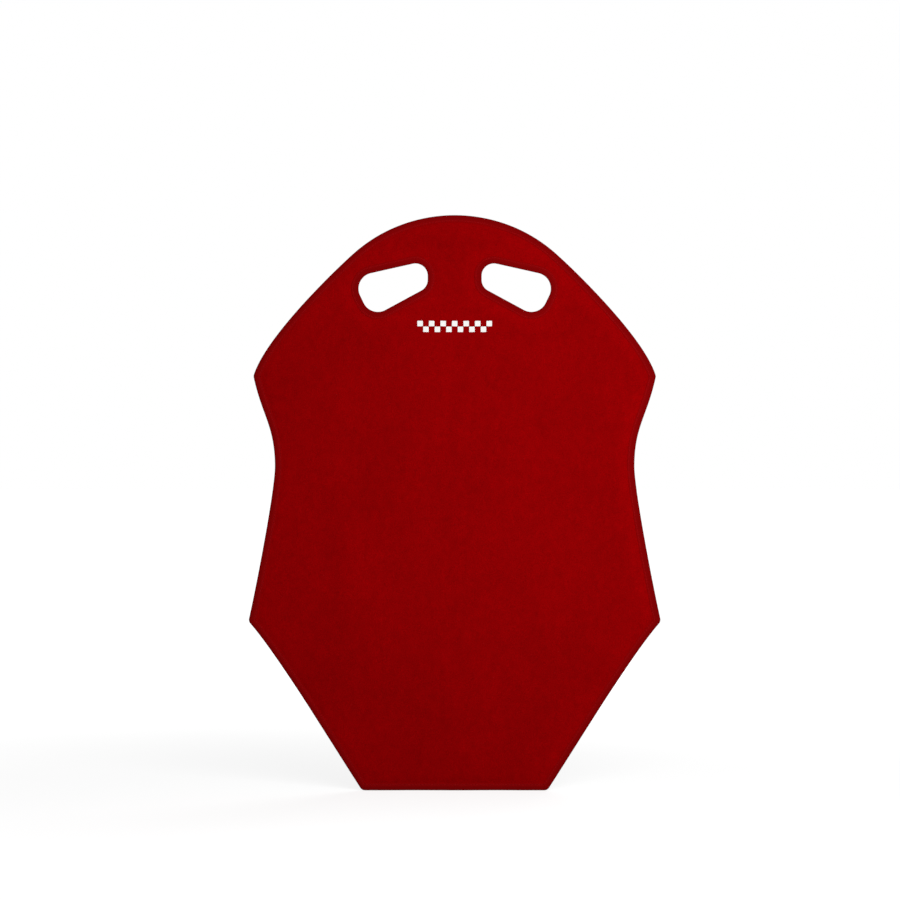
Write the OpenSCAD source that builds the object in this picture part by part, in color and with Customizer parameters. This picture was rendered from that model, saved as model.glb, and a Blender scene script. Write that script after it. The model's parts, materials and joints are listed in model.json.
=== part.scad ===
// Back protector of a bucket racing seat: a padded velour cover, bound all round its edge
// and round its two harness slots, held to the seat shell by hook-and-loop pads.
// Millimetres. X runs across the cover, +Z is up as it hangs on an upright seat, and -Y is
// the way the velour faces. The seat shell's back is the plane Y = 0, and the origin is the
// middle of the centre pad, level with the harness slots.

/* [Cover outline] */
// Overall height, from the top of the dome to the bottom edge
cover_h = 800; // [740:1:860]
// Height of the top of the dome above the middle of the harness slots
crown_rise = 100; // [96:1:110]
// Width at the brow, where the dome meets the shoulder slopes
brow_w = 280; // [260:1:300]
// Drop from the top of the dome to the brow
brow_drop = 53; // [46:1:60]
// Width across the shoulder points
shoulder_w = 560; // [530:1:600]
// Drop of the shoulder points below the harness slots
shoulder_drop = 124; // [110:1:140]
// Width at the waist
waist_w = 500; // [470:1:530]
// Drop of the waist below the harness slots
waist_drop = 250; // [235:1:270]
// Width across the hip points
hip_w = 574; // [540:1:600]
// Drop of the hip points below the harness slots
hip_drop = 465; // [445:1:485]
// Width of the straight bottom edge
foot_w = 258; // [230:1:290]
// Radius at the shoulder, hip and foot points
point_r = 8; // [4:0.5:11]

/* [Edge slopes] */
// Slope of the shoulder edge where it reaches the shoulder point
shoulder_in = 74; // [68:1:78]
// Slope of the waist edge where it leaves the shoulder point
shoulder_out = 102; // [97:1:106]
// Slope of the flank edge where it reaches the hip point
hip_in = 77; // [73:1:82]
// Slope of the lower edge where it leaves the hip point
hip_out = 132; // [126:1:137]
// Slope of the lower edge where it reaches the foot point
foot_in = 123; // [119:1:127]

/* [Harness slots] */
// Width of the web of fabric between the two slots
web_w = 75; // [72:1:90]
// Height of a slot's inner end, before its corners are rounded
slot_inner_h = 37; // [35:1:42]
// Reach of the slot's top edge away from the web
slot_top_reach = 106; // [98:1:112]
// Fall of the slot's top edge over that reach
slot_top_fall = 24; // [16:1:30]
// Reach of the slot's bottom edge away from the web
slot_low_reach = 79; // [72:1:86]
// Fall of the slot's bottom edge over that reach
slot_low_fall = 43; // [36:1:50]
// Corner radius at the slot's inner end
slot_inner_r = 17; // [10:0.5:19]
// Corner radius at the slot's outer end
slot_outer_r = 22; // [12:0.5:25]

/* [Layers] */
// Thickness of the adhesive under each hook pad
adhesive_t = 0.8; // [0.4:0.1:1.5]
// Thickness of a hook pad's backing
hook_base_t = 1; // [0.6:0.1:1.6]
// Height of the hooks
hook_h = 1; // [0.6:0.1:1.6]
// Clearance between the hook tips and the loop patches
hook_clear = 0.2; // [0.1:0.05:0.4]
// Thickness of a loop patch
loop_t = 1.6; // [1:0.1:2.5]
// Thickness of the lining
lining_t = 0.6; // [0.4:0.1:1.2]
// Thickness of the foam away from the seams
foam_t = 4; // [3:0.5:8]
// Thickness of the foam where the binding squeezes it
seam_foam_t = 1.5; // [0.8:0.1:2.5]
// Thickness of the velour face
face_t = 1.2; // [0.8:0.1:2]

/* [Binding] */
// Width of the binding tape on each face
binding_w = 10; // [8:0.5:11]
// Thickness of the binding tape
binding_t = 0.7; // [0.4:0.1:1]
// Distance of the binding seam from the edge
seam_inset = 7.5; // [6:0.5:9]
// Width of a line of thread
thread_w = 0.8; // [0.4:0.1:1]
// Height of a line of thread above what it is sewn to
thread_t = 0.4; // [0.2:0.1:0.6]
// Distance over which the foam regains its thickness beside a binding
swell_w = 12; // [8:0.5:13]

/* [Hook and loop] */
// Width of a loop patch
patch_w = 38; // [34:1:42]
// Length of a loop patch at the edge of the cover
patch_l = 100; // [80:1:110]
// Length of the loop patch under the dome
crown_patch_l = 80; // [60:1:86]
// Length of the loop patch on the web between the slots
centre_patch_l = 60; // [50:1:66]
// Corner radius of a loop patch
patch_r = 4; // [2:0.5:8]
// Distance from the binding to a loop patch
patch_gap = 5; // [4:0.5:6]
// Distance of the patch seam from the edge of its patch
patch_seam = 3; // [2:0.5:4]
// Margin of loop patch that shows all round its hook pad
hook_margin = 6.5; // [6:0.5:9]
// Distance from one row of hooks to the next
hook_pitch = 2.5; // [2:0.1:4]
// Width of a row of hooks
hook_row_w = 0.9; // [0.6:0.1:1.4]

/* [Printed strip] */
// Side of one printed square
square_w = 7.6; // [6:0.1:9]
// Gap between one square and the next
square_gap = 0.4; // [0.3:0.1:1]
// Number of columns in the chequered strip
print_columns = 13; // [7:2:15]
// Number of rows in the chequered strip
print_rows = 2; // [1:1:3]
// Drop of the middle of the strip below the harness slots
print_drop = 55; // [52:1:70]
// Thickness of the print
print_t = 0.2; // [0.1:0.05:0.4]

/* [Hidden] */
// Points along each curve of the outline and round each of its corners
dome_steps = 6;
side_steps = 6;
waist_steps = 5;
flank_steps = 5;
lower_steps = 6;
point_steps = 3;
slot_corner_steps = 5;
patch_corner_steps = 5;

// Pull of each curve's two ends, as shares of its chord
side_pull = [0.20, 0.24];
waist_pull = [0.44, 0.44];
flank_pull = [0.14, 0.235];
lower_pull = [0.21, 0.28];

// Smallest radius that a corner keeps when its outline is drawn further in
least_r = 0.5;
// Overshoot of a cutting solid past what it cuts
cut = 1;

// Depths in front of the seat shell, out towards the velour
hook_back = adhesive_t;
hook_root = hook_back + hook_base_t;
hook_tip = hook_root + hook_h;
loop_back = hook_tip + hook_clear;
lining_back = loop_back + loop_t;
foam_back = lining_back + lining_t;
seam_level = foam_back + seam_foam_t;
swell = foam_t - seam_foam_t;
face_front = foam_back + foam_t + face_t;
binding_back = lining_back - binding_t;
binding_front = seam_level + face_t + binding_t;
binding_bevel = binding_t;

// How the foam's surface rises beside a binding: distance from the edge, share of the swell
swell_steps = [
    [binding_w, 0],
    [binding_w + 0.4 * swell_w, 0.6],
    [binding_w + swell_w, 1]
];

// The binding's section: distance from the edge, depth in front of the shell
binding_section = [
    [binding_bevel, binding_back],
    [0, binding_back + binding_bevel],
    [0, binding_front - binding_bevel],
    [binding_bevel, binding_front],
    [binding_w, binding_front],
    [binding_w, binding_front - binding_t],
    [binding_t, binding_front - binding_t],
    [binding_t, binding_back + binding_t],
    [binding_w, binding_back + binding_t],
    [binding_w, binding_back]
];

// ---- Curves and borders ----

function polar(angle, r) = r * [cos(angle), sin(angle)];
function unit(v) = v / norm(v);
function reverse(list) = [for (i = [len(list) - 1:-1:0]) list[i]];
function flip(p) = [-p.x, p.y];
function wrapped(angle) = angle > 180 ? angle - 360 : angle < -180 ? angle + 360 : angle;

// A cubic curve's four control points, from its ends and its slopes there
function curve(a, b, leave, arrive, pull) =
    let (chord = norm(b - a))
    [a, a + polar(-leave, pull[0] * chord), b - polar(-arrive, pull[1] * chord), b];
function along(c, t) =
    pow(1 - t, 3) * c[0] + 3 * pow(1 - t, 2) * t * c[1]
    + 3 * (1 - t) * t * t * c[2] + pow(t, 3) * c[3];
function heading(c, t) = unit(along(c, t + 0.01) - along(c, t - 0.01));
function sampled(c, steps) = [for (i = [0:steps - 1]) along(c, i / steps)];

// The side of an edge on which the fabric lies, for an edge that is followed clockwise
function inward(u) = [u.y, -u.x];
function mitre(n1, n2) = (n1 + n2) / (1 + n1 * n2);
function edge_before(points, i) =
    unit(points[i] - points[(i + len(points) - 1) % len(points)]);
function edge_after(points, i) =
    unit(points[(i + 1) % len(points)] - points[i]);
function inset(points, s) = [
    for (i = [0:len(points) - 1])
        points[i] + s * mitre(inward(edge_before(points, i)), inward(edge_after(points, i)))
];
function corner_arc(points, i, r, steps) =
    let (
        n1 = inward(edge_before(points, i)),
        n2 = inward(edge_after(points, i)),
        centre = points[i] + r * mitre(n1, n2),
        start = atan2(n1.y, n1.x),
        turn = wrapped(atan2(n2.y, n2.x) - start)
    )
    [for (j = [0:steps]) centre - polar(start + turn * j / steps, r)];
function radius_at(r, s) = r > 0 ? max(r - s, least_r) : r - s;
function rounded(points, radii, s, steps) = [
    for (i = [0:len(points) - 1])
        each radii[i] == 0 ? [points[i]] : corner_arc(points, i, radius_at(radii[i], s), steps)
];

// A loop is [points, corner radii, steps round a corner]; its border is drawn s in from it
function border(loop, s) = rounded(inset(loop[0], s), loop[1], s, loop[2]);

// ---- The outline of the cover ----

brow = [brow_w / 2, crown_rise - brow_drop];
shoulder = [shoulder_w / 2, -shoulder_drop];
waist = [waist_w / 2, -waist_drop];
hip = [hip_w / 2, -hip_drop];
foot = [foot_w / 2, crown_rise - cover_h];
dome_r = (brow.x * brow.x + brow_drop * brow_drop) / (2 * brow_drop);
dome_half = asin(brow.x / dome_r);
dome_middle = [0, crown_rise - dome_r];

side_curve = curve(brow, shoulder, dome_half, shoulder_in, side_pull);
waist_curve = curve(shoulder, waist, shoulder_out, 90, waist_pull);
flank_curve = curve(waist, hip, 90, hip_in, flank_pull);
lower_curve = curve(hip, foot, hip_out, foot_in, lower_pull);

half_outline = concat(
    [for (i = [0:dome_steps - 1]) dome_middle + polar(90 - dome_half * i / dome_steps, dome_r)],
    sampled(side_curve, side_steps),
    sampled(waist_curve, waist_steps),
    sampled(flank_curve, flank_steps),
    sampled(lower_curve, lower_steps),
    [foot]
);
shoulder_at = dome_steps + side_steps;
hip_at = shoulder_at + waist_steps + flank_steps;
foot_at = hip_at + lower_steps;
half_radii = [
    for (i = [0:foot_at]) i == shoulder_at || i == hip_at || i == foot_at ? point_r : 0
];
cover_edge = [
    concat(half_outline, [for (i = [foot_at:-1:1]) flip(half_outline[i])]),
    concat(half_radii, [for (i = [foot_at:-1:1]) half_radii[i]]),
    point_steps
];

// ---- The harness slots ----

// Followed anticlockwise, so that the fabric lies on the same side as for the outline
slot_points = [
    [web_w / 2, slot_inner_h],
    [web_w / 2, 0],
    [web_w / 2 + slot_low_reach, -slot_low_fall],
    [web_w / 2 + slot_top_reach, slot_inner_h - slot_top_fall]
];
slot_radii = [-slot_inner_r, -slot_inner_r, -slot_outer_r, -slot_outer_r];
slot_right_edge = [slot_points, slot_radii, slot_corner_steps];
slot_left_edge = [reverse([for (p = slot_points) flip(p)]), reverse(slot_radii), slot_corner_steps];
slot_edges = [slot_left_edge, slot_right_edge];

// ---- Where the pads sit ----

edge_to_pad = binding_w + patch_gap + patch_w / 2;
// A pad beside a curve of the outline: [name, middle, lean of its long side, length]
function pad_beside(name, c, t) =
    let (u = heading(c, t))
    [name, along(c, t) + edge_to_pad * inward(u), 90 + atan2(u.y, u.x), patch_l];
function other_side(name, pad) = [name, flip(pad[1]), -pad[2], pad[3]];

shoulder_pad = pad_beside("shoulder_right", side_curve, 0.6);
waist_pad = pad_beside("waist_right", flank_curve, 0.02);
hip_pad = pad_beside("hip_right", flank_curve, 0.6);
foot_pad = pad_beside("foot_right", lower_curve, 0.74);
pads = [
    ["centre", [0, 0], 0, centre_patch_l],
    ["crown", [0, crown_rise - edge_to_pad], 90, crown_patch_l],
    shoulder_pad,
    other_side("shoulder_left", shoulder_pad),
    waist_pad,
    other_side("waist_left", waist_pad),
    hip_pad,
    other_side("hip_left", hip_pad),
    foot_pad,
    other_side("foot_left", foot_pad)
];

// ---- Solids ----

// A flat layer of the XZ plane, from one depth to another
module layer(from, to) {
    translate([0, -from, 0])
        rotate([90, 0, 0])
            linear_extrude(to - from)
                children();
}

// The cover's shape, s in from its edge and its slots
module cover_shape(s) {
    difference() {
        polygon(border(cover_edge, s));
        for (slot = slot_edges)
            polygon(border(slot, s));
    }
}

function at_depth(points, depth) = [for (p = points) [p.x, -depth, p.y]];
function wall_faces(size, k, next) = [
    for (i = [0:size - 1])
        let (a = k * size + i, b = k * size + (i + 1) % size)
        let (c = next * size + (i + 1) % size, d = next * size + i)
        each [[a, b, c], [a, c, d]]
];

// A closed solid through flat rings of equal size, from its back cap to its front cap
module loft(rings) {
    size = len(rings[0]);
    last = len(rings) - 1;
    polyhedron(
        points = [for (ring = rings) each ring],
        faces = concat(
            [[for (i = [size - 1:-1:0]) i]],
            [for (k = [0:last - 1]) each wall_faces(size, k, k + 1)],
            [[for (i = [0:size - 1]) last * size + i]]
        )
    );
}

// A closed section carried once round a loop
module carried_round(loop, section) {
    rings = [for (p = section) at_depth(border(loop, p[0]), p[1])];
    size = len(rings[0]);
    count = len(rings);
    polyhedron(
        points = [for (ring = rings) each ring],
        faces = [for (k = [0:count - 1]) each wall_faces(size, k, (k + 1) % count)]
    );
}

// The padded sandwich from a flat back up to the foam's crowned surface, raised by lift.
// spread widens it past its cut edges.
module crowned_plate(back, lift, spread = 0) {
    trim = binding_t - spread;
    level = seam_level + lift;
    difference() {
        loft(concat(
            [at_depth(border(cover_edge, trim), back)],
            [at_depth(border(cover_edge, trim), level)],
            [for (p = swell_steps) at_depth(border(cover_edge, p[0]), level + p[1] * swell)]
        ));
        for (slot = slot_edges)
            loft(concat(
                [at_depth(reverse(border(slot, trim)), back - cut)],
                [at_depth(reverse(border(slot, trim)), level)],
                [for (p = swell_steps) at_depth(reverse(border(slot, p[0])), level + p[1] * swell)],
                [at_depth(reverse(border(slot, binding_w + swell_w)), level + swell + cut)]
            ));
    }
}

// A line of thread along a loop, s in from it
module thread_line(loop, s, from, to) {
    near = border(loop, s);
    far = border(loop, s + thread_w);
    layer(from, to)
        difference() {
            polygon(loop[1][0] < 0 ? far : near);
            polygon(loop[1][0] < 0 ? near : far);
        }
}

// The binding's seam shows on the front and on the back
module binding_seam(loop) {
    thread_line(loop, seam_inset, binding_front, binding_front + thread_t);
    thread_line(loop, seam_inset, binding_back - thread_t, binding_back);
}

module place(pad) {
    translate([pad[1].x, 0, pad[1].y])
        rotate([0, -pad[2], 0])
            children();
}

function rectangle(w, l) = [[-w / 2, l / 2], [w / 2, l / 2], [w / 2, -l / 2], [-w / 2, -l / 2]];
function patch_edge(pad) =
    [rectangle(patch_w, pad[3]), [for (i = [0:3]) patch_r], patch_corner_steps];
hook_pad_w = patch_w - 2 * hook_margin;
function hook_pad_l(pad) = pad[3] - 2 * hook_margin;

// ---- Pieces of the cover ----

module face_panel() {
    color("#870003")
        difference() {
            crowned_plate(seam_level, face_t);
            crowned_plate(seam_level - cut, 0, cut);
        }
}

module foam_core() {
    color("#3a3a3c")
        crowned_plate(foam_back, 0);
}

module lining() {
    color("#1c1c1e")
        layer(lining_back, foam_back)
            cover_shape(binding_t);
}

module outer_binding() {
    color("#7a0003")
        carried_round(cover_edge, binding_section);
}

module slot_binding(slot) {
    color("#7a0003")
        carried_round(slot, binding_section);
}

module outer_binding_thread() {
    color("#8e0206")
        binding_seam(cover_edge);
}

module slot_binding_thread(slot) {
    color("#8e0206")
        binding_seam(slot);
}

module loop_patch(pad) {
    color("#232326")
        place(pad)
            layer(loop_back, lining_back)
                polygon(border(patch_edge(pad), 0));
}

module patch_thread(pad) {
    color("#2b2b2e")
        place(pad)
            thread_line(patch_edge(pad), patch_seam, loop_back - thread_t, loop_back);
}

module transfer_print() {
    pitch = square_w + square_gap;
    color("white")
        for (column = [0:print_columns - 1], row = [0:print_rows - 1])
            if ((column + row) % 2 == 0)
                translate([
                    (column - (print_columns - 1) / 2) * pitch - square_w / 2,
                    -face_front - print_t,
                    ((print_rows - 1) / 2 - row) * pitch - square_w / 2 - print_drop
                ])
                    cube([square_w, print_t, square_w]);
}

// ---- Pieces on the seat shell ----

module hook_pad(pad) {
    rows = floor((hook_pad_w - hook_row_w) / hook_pitch) + 1;
    first = -(rows - 1) * hook_pitch / 2;
    comb = concat(
        [[-hook_pad_w / 2, -hook_root], [-hook_pad_w / 2, -hook_back]],
        [[hook_pad_w / 2, -hook_back], [hook_pad_w / 2, -hook_root]],
        [
            for (row = [rows - 1:-1:0])
                let (x = first + row * hook_pitch, h = hook_row_w / 2)
                each [[x + h, -hook_root], [x + h, -hook_tip], [x - h, -hook_tip], [x - h, -hook_root]]
        ]
    );
    color("#18181a")
        place(pad)
            linear_extrude(hook_pad_l(pad), center = true)
                polygon(comb);
}

module adhesive(pad) {
    color("#e6e4dc")
        place(pad)
            translate([-hook_pad_w / 2, -adhesive_t, -hook_pad_l(pad) / 2])
                cube([hook_pad_w, adhesive_t, hook_pad_l(pad)]);
}

// ---- Nodes ----

face_panel();
foam_core();
lining();
outer_binding();
slot_binding(slot_left_edge);  // slot_binding_left
slot_binding(slot_right_edge);  // slot_binding_right
outer_binding_thread();
slot_binding_thread(slot_left_edge);  // slot_binding_thread_left
slot_binding_thread(slot_right_edge);  // slot_binding_thread_right
transfer_print();
for (pad = pads) {
    loop_patch(pad);
    patch_thread(pad);
    hook_pad(pad);
    adhesive(pad);
}
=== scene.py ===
"""The padded back protector of a bucket racing seat, dressed in Blender around its CAD model.

It is laid out as an add-on and run as a script: the Protector panel in the 3D view's sidebar lists one
button for each piece or group of like pieces, and the sizes and colours that they take. Lengths are in
metres. The cover lies in the XZ plane, its velour faces -Y, and a depth is a distance in front of the seat
shell, towards -Y.
"""

import json
import math

import bpy
import numpy as np
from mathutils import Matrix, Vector
from mathutils.geometry import delaunay_2d_cdt
from mathutils.kdtree import KDTree


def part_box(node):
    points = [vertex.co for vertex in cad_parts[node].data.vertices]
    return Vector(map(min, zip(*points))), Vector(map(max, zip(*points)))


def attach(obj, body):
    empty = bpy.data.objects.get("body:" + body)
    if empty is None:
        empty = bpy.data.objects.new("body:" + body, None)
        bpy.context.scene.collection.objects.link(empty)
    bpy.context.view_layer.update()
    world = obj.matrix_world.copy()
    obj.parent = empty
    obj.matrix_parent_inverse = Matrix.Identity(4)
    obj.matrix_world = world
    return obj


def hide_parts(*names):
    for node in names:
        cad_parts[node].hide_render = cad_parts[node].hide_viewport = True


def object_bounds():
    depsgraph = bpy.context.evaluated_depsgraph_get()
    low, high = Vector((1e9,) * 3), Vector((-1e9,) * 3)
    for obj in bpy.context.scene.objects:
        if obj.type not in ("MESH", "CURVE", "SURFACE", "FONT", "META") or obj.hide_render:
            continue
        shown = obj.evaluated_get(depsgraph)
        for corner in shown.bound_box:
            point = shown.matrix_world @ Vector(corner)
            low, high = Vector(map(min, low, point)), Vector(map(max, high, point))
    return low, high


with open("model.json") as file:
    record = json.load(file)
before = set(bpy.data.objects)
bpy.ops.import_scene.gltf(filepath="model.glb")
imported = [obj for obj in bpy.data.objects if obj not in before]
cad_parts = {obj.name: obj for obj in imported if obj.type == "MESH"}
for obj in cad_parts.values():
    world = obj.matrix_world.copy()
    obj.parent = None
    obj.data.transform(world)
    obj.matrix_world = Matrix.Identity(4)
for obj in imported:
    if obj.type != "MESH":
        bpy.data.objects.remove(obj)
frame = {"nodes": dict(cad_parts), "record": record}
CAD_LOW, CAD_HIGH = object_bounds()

bl_info = {
    "name": "Seat back protector",
    "version": (1, 0, 0),
    "blender": (4, 5, 0),
    "location": "3D View > Sidebar > Protector",
    "description": "Dresses the CAD model of a bucket seat's padded back protector",
    "category": "Object",
}

MM = 0.001
SHEET = "Settled sheet"
PLACES = (
    "centre", "crown", "shoulder_right", "shoulder_left", "waist_right", "waist_left",
    "hip_right", "hip_left", "foot_right", "foot_left",
)
BODY_OF = {node: body for body, nodes in frame["record"]["behaviour"]["bodies"].items() for node in nodes}


def depths(node):
    """A CAD node's nearest and furthest depth in front of the seat shell."""
    low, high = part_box(node)
    return -high.y, -low.y


ADHESIVE_DEPTHS = depths("adhesive_centre")
HOOK_DEPTHS = depths("hook_pad_centre")
LOOP_DEPTHS = depths("loop_patch_centre")
LINING_DEPTHS = depths("lining")
FOAM_DEPTHS = depths("foam_core")
FACE_DEPTHS = depths("face_panel")
BINDING_DEPTHS = depths("outer_binding")
PRINT_DEPTHS = depths("transfer_print")
PILE_HEIGHT = 0.55 * MM
RING_STEP = 2.6 * MM


# ---- Sizes and colours that a user would change ----


def length(default, name, description, low=0.0, high=2.0):
    """A length in metres, shown in the scene's own unit."""
    return bpy.props.FloatProperty(
        name=name, description=description, default=default, min=low, max=high,
        precision=5, unit="LENGTH", subtype="DISTANCE",
    )


def colour(code, name, description):
    """A colour whose default is an sRGB hex value, turned to linear red, green and blue."""
    values = [int(code[i:i + 2], 16) / 255 for i in (1, 3, 5)]
    return bpy.props.FloatVectorProperty(
        name=name, description=description, size=3, min=0, max=1, subtype="COLOR",
        default=[v / 12.92 if v <= 0.04045 else ((v + 0.055) / 1.055) ** 2.4 for v in values],
    )


class OutlineSettings(bpy.types.PropertyGroup):
    """The outline of the cover."""
    height: length(0.800, "Height", "From the top of the dome to the bottom edge")
    crown_rise: length(0.100, "Crown rise", "Top of the dome above the middle of the slots")
    brow_width: length(0.280, "Brow width", "Where the dome meets the shoulder slopes")
    brow_drop: length(0.053, "Brow drop", "From the top of the dome to the brow")
    shoulder_width: length(0.560, "Shoulder width", "Across the shoulder points")
    shoulder_drop: length(0.124, "Shoulder drop", "Shoulder points below the slots")
    waist_width: length(0.500, "Waist width", "Across the narrowest part")
    waist_drop: length(0.250, "Waist drop", "Waist below the slots")
    hip_width: length(0.574, "Hip width", "Across the hip points")
    hip_drop: length(0.465, "Hip drop", "Hip points below the slots")
    foot_width: length(0.258, "Foot width", "Length of the straight bottom edge")
    point_radius: length(0.008, "Point radius", "Radius at the shoulder, hip and foot points")


class SlotSettings(bpy.types.PropertyGroup):
    """The two harness slots."""
    web_width: length(0.075, "Web width", "Fabric between the two slots")
    inner_height: length(0.037, "Inner height", "Height of the inner end, before its corners are rounded")
    top_reach: length(0.106, "Top reach", "Reach of the top edge away from the web")
    top_fall: length(0.024, "Top fall", "Fall of the top edge over that reach")
    low_reach: length(0.079, "Bottom reach", "Reach of the bottom edge away from the web")
    low_fall: length(0.043, "Bottom fall", "Fall of the bottom edge over that reach")
    inner_radius: length(0.017, "Inner radius", "Corner radius at the inner end")
    outer_radius: length(0.022, "Outer radius", "Corner radius at the outer end")


class PaddingSettings(bpy.types.PropertyGroup):
    """The padded sandwich of velour, foam and lining."""
    face_thickness: length(0.0012, "Face thickness", "Thickness of the velour and its backing")
    swell_width: length(0.018, "Swell width", "Distance over which the foam rises beside a binding")
    pucker: length(0.0003, "Seam pucker", "Height of the gathers beside a binding")
    wander: length(0.0006, "Wander", "Height of the slow unevenness of the laminated panel")
    ripple: length(0.0004, "Lining ripple", "Height of the ripples in the lining")
    mesh_step: length(0.0036, "Mesh step", "Distance between points inside the panel", low=0.001)


class SettlingSettings(bpy.types.PropertyGroup):
    """How the soft cover settles between the pads that hold it."""
    spacing: length(0.010, "Spacing", "Distance between points of the simulated sheet", low=0.002)
    spare: bpy.props.FloatProperty(
        name="Spare cloth", description="Share by which the cloth is longer than the way between its pads",
        default=0.002, min=0, max=0.05, precision=4, subtype="FACTOR",
    )
    stiffness: bpy.props.FloatProperty(
        name="Bending stiffness", description="How hard the padded cloth is to bend", default=100, min=0,
    )
    steps: bpy.props.IntProperty(name="Steps", description="Steps of the simulation", default=40, min=1)
    most: length(0.004, "Most", "Furthest that the cover may stand off the plane of its pads")


class BindingSettings(bpy.types.PropertyGroup):
    """The folded tape and its lockstitch seam."""
    tape_width: length(0.010, "Tape width", "Width of the folded tape on each face")
    tape_thickness: length(0.0007, "Tape thickness", "Thickness of the tape")
    seam_inset: length(0.0079, "Seam inset", "Middle of the seam from the edge")
    stitch_pitch: length(0.0045, "Stitch pitch", "Distance from stitch to stitch", low=0.001)
    stitch_length: length(0.0040, "Stitch length", "Length of a stitch between its needle holes")
    thread_width: length(0.0007, "Thread width", "Diameter of the thread")
    fold: length(0.0007, "Corner fold", "Height of the tuck that turns the tape round a point")


class FasteningSettings(bpy.types.PropertyGroup):
    """The hook pads and loop patches."""
    patch_radius: length(0.004, "Patch radius", "Corner radius of a loop patch")
    hook_margin: length(0.0065, "Hook margin", "Loop patch that shows round its hook pad")
    patch_seam: length(0.0034, "Patch seam", "Middle of the patch seam from the edge of the patch")
    row_pitch: length(0.0025, "Row pitch", "Distance from one row of hooks to the next", low=0.0005)
    hook_pitch: length(0.0024, "Hook pitch", "Distance from hook to hook along a row", low=0.0005)
    hook_thickness: length(0.00032, "Hook thickness", "Thickness of a hook")
    loop_spacing: length(0.0009, "Loop spacing", "Least distance from loop to loop", low=0.0005)
    loop_thickness: length(0.00024, "Loop thickness", "Thickness of a loop's bundle of filaments")


class PrintSettings(bpy.types.PropertyGroup):
    """The chequered strip that is transferred to the velour."""
    square: length(0.0076, "Square", "Side of one square")
    gap: length(0.0004, "Gap", "Distance from one square to the next")
    columns: bpy.props.IntProperty(name="Columns", description="Columns of squares", default=13, min=1)
    rows: bpy.props.IntProperty(name="Rows", description="Rows of squares", default=2, min=1)
    corner: length(0.0007, "Corner", "Corner radius of a square")


class ColourSettings(bpy.types.PropertyGroup):
    """The colours of the finishes."""
    velour: colour("#890002", "Velour", "The deep red of the pile")
    binding: colour("#870002", "Binding", "The tape round the edges")
    seam_thread: colour("#940208", "Seam thread", "The thread of the binding seams")
    foam: colour("#3a3a3c", "Foam", "The foam core")
    lining: colour("#1c1c1e", "Lining", "The tricot on the back")
    loop_tape: colour("#232326", "Loop tape", "The loop patches")
    patch_thread: colour("#2f2f33", "Patch thread", "The thread that holds the loop patches")
    hook_tape: colour("#18181a", "Hook tape", "The hook pads")
    adhesive: colour("#e6e4dc", "Adhesive", "The adhesive tape on the hook pads")
    print_film: colour("#eeeeec", "Print", "The transferred squares")


class StageSettings(bpy.types.PropertyGroup):
    """The floor, the light and the camera."""
    key_power: bpy.props.FloatProperty(
        name="Key power", description="Power of the large soft lamp", default=14.4, min=0, unit="POWER",
    )
    surround: bpy.props.FloatProperty(
        name="Surround", description="Strength of the even light from all round", default=0.22, min=0,
    )
    distance: length(4.0, "Camera distance", "Camera in front of the cover's edge", high=20)
    frame_width: length(1.2519, "Frame width", "Width of the view at the cover", high=20)
    aim_x: length(-0.0065, "Aim across", "Middle of the view, from the middle of the cover", low=-2)
    aim_z: length(-0.2267, "Aim up", "Middle of the view, above the middle of the slots", low=-2)


# ---- The edges of the cover ----


def unit(rows):
    return rows / np.linalg.norm(rows, axis=-1, keepdims=True)


def heading(below):
    """The direction that points this many degrees below the +X axis."""
    return np.array([math.cos(math.radians(below)), -math.sin(math.radians(below))])


def inward(directions):
    """The directions from an edge into the fabric, for an outline that is followed clockwise."""
    return np.stack([directions[..., 1], -directions[..., 0]], axis=-1)


def curve(a, b, leave, arrive, pull, steps=240):
    """A cubic from a to b, with its slopes there and the pull of its ends as shares of its chord."""
    a, b = np.array(a), np.array(b)
    chord = np.linalg.norm(b - a)
    near, far = a + heading(leave) * pull[0] * chord, b - heading(arrive) * pull[1] * chord
    t = np.linspace(0, 1, steps + 1)[:, None]
    return (1 - t) ** 3 * a + 3 * (1 - t) ** 2 * t * near + 3 * (1 - t) * t * t * far + t ** 3 * b


def flipped(points):
    return points[::-1] * [-1, 1]


def joined(*runs):
    return np.concatenate([runs[0], *(run[1:] for run in runs[1:])])


def run_lengths(points):
    """The length along a line at each of its points."""
    return np.concatenate([[0], np.cumsum(np.linalg.norm(np.diff(points, axis=0), axis=1))])


def ring_lengths(ring):
    """The length along a closed ring at each of its points, and its whole length last."""
    return run_lengths(np.concatenate([ring, ring[:1]]))


class Side:
    """One smooth stretch of an edge, from corner to corner."""

    def __init__(self, points):
        self.points = np.array(points, float)
        self.lengths = run_lengths(self.points)
        self.length = self.lengths[-1]
        self.along = unit(np.gradient(self.points, self.lengths, axis=0))

    def at(self, lengths):
        """Points at these lengths along the side, and the directions of the edge there."""
        spots, ways = (
            np.stack([np.interp(lengths, self.lengths, rows[:, k]) for k in (0, 1)], axis=-1)
            for rows in (self.points, self.along)
        )
        return spots, unit(ways)


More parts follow.
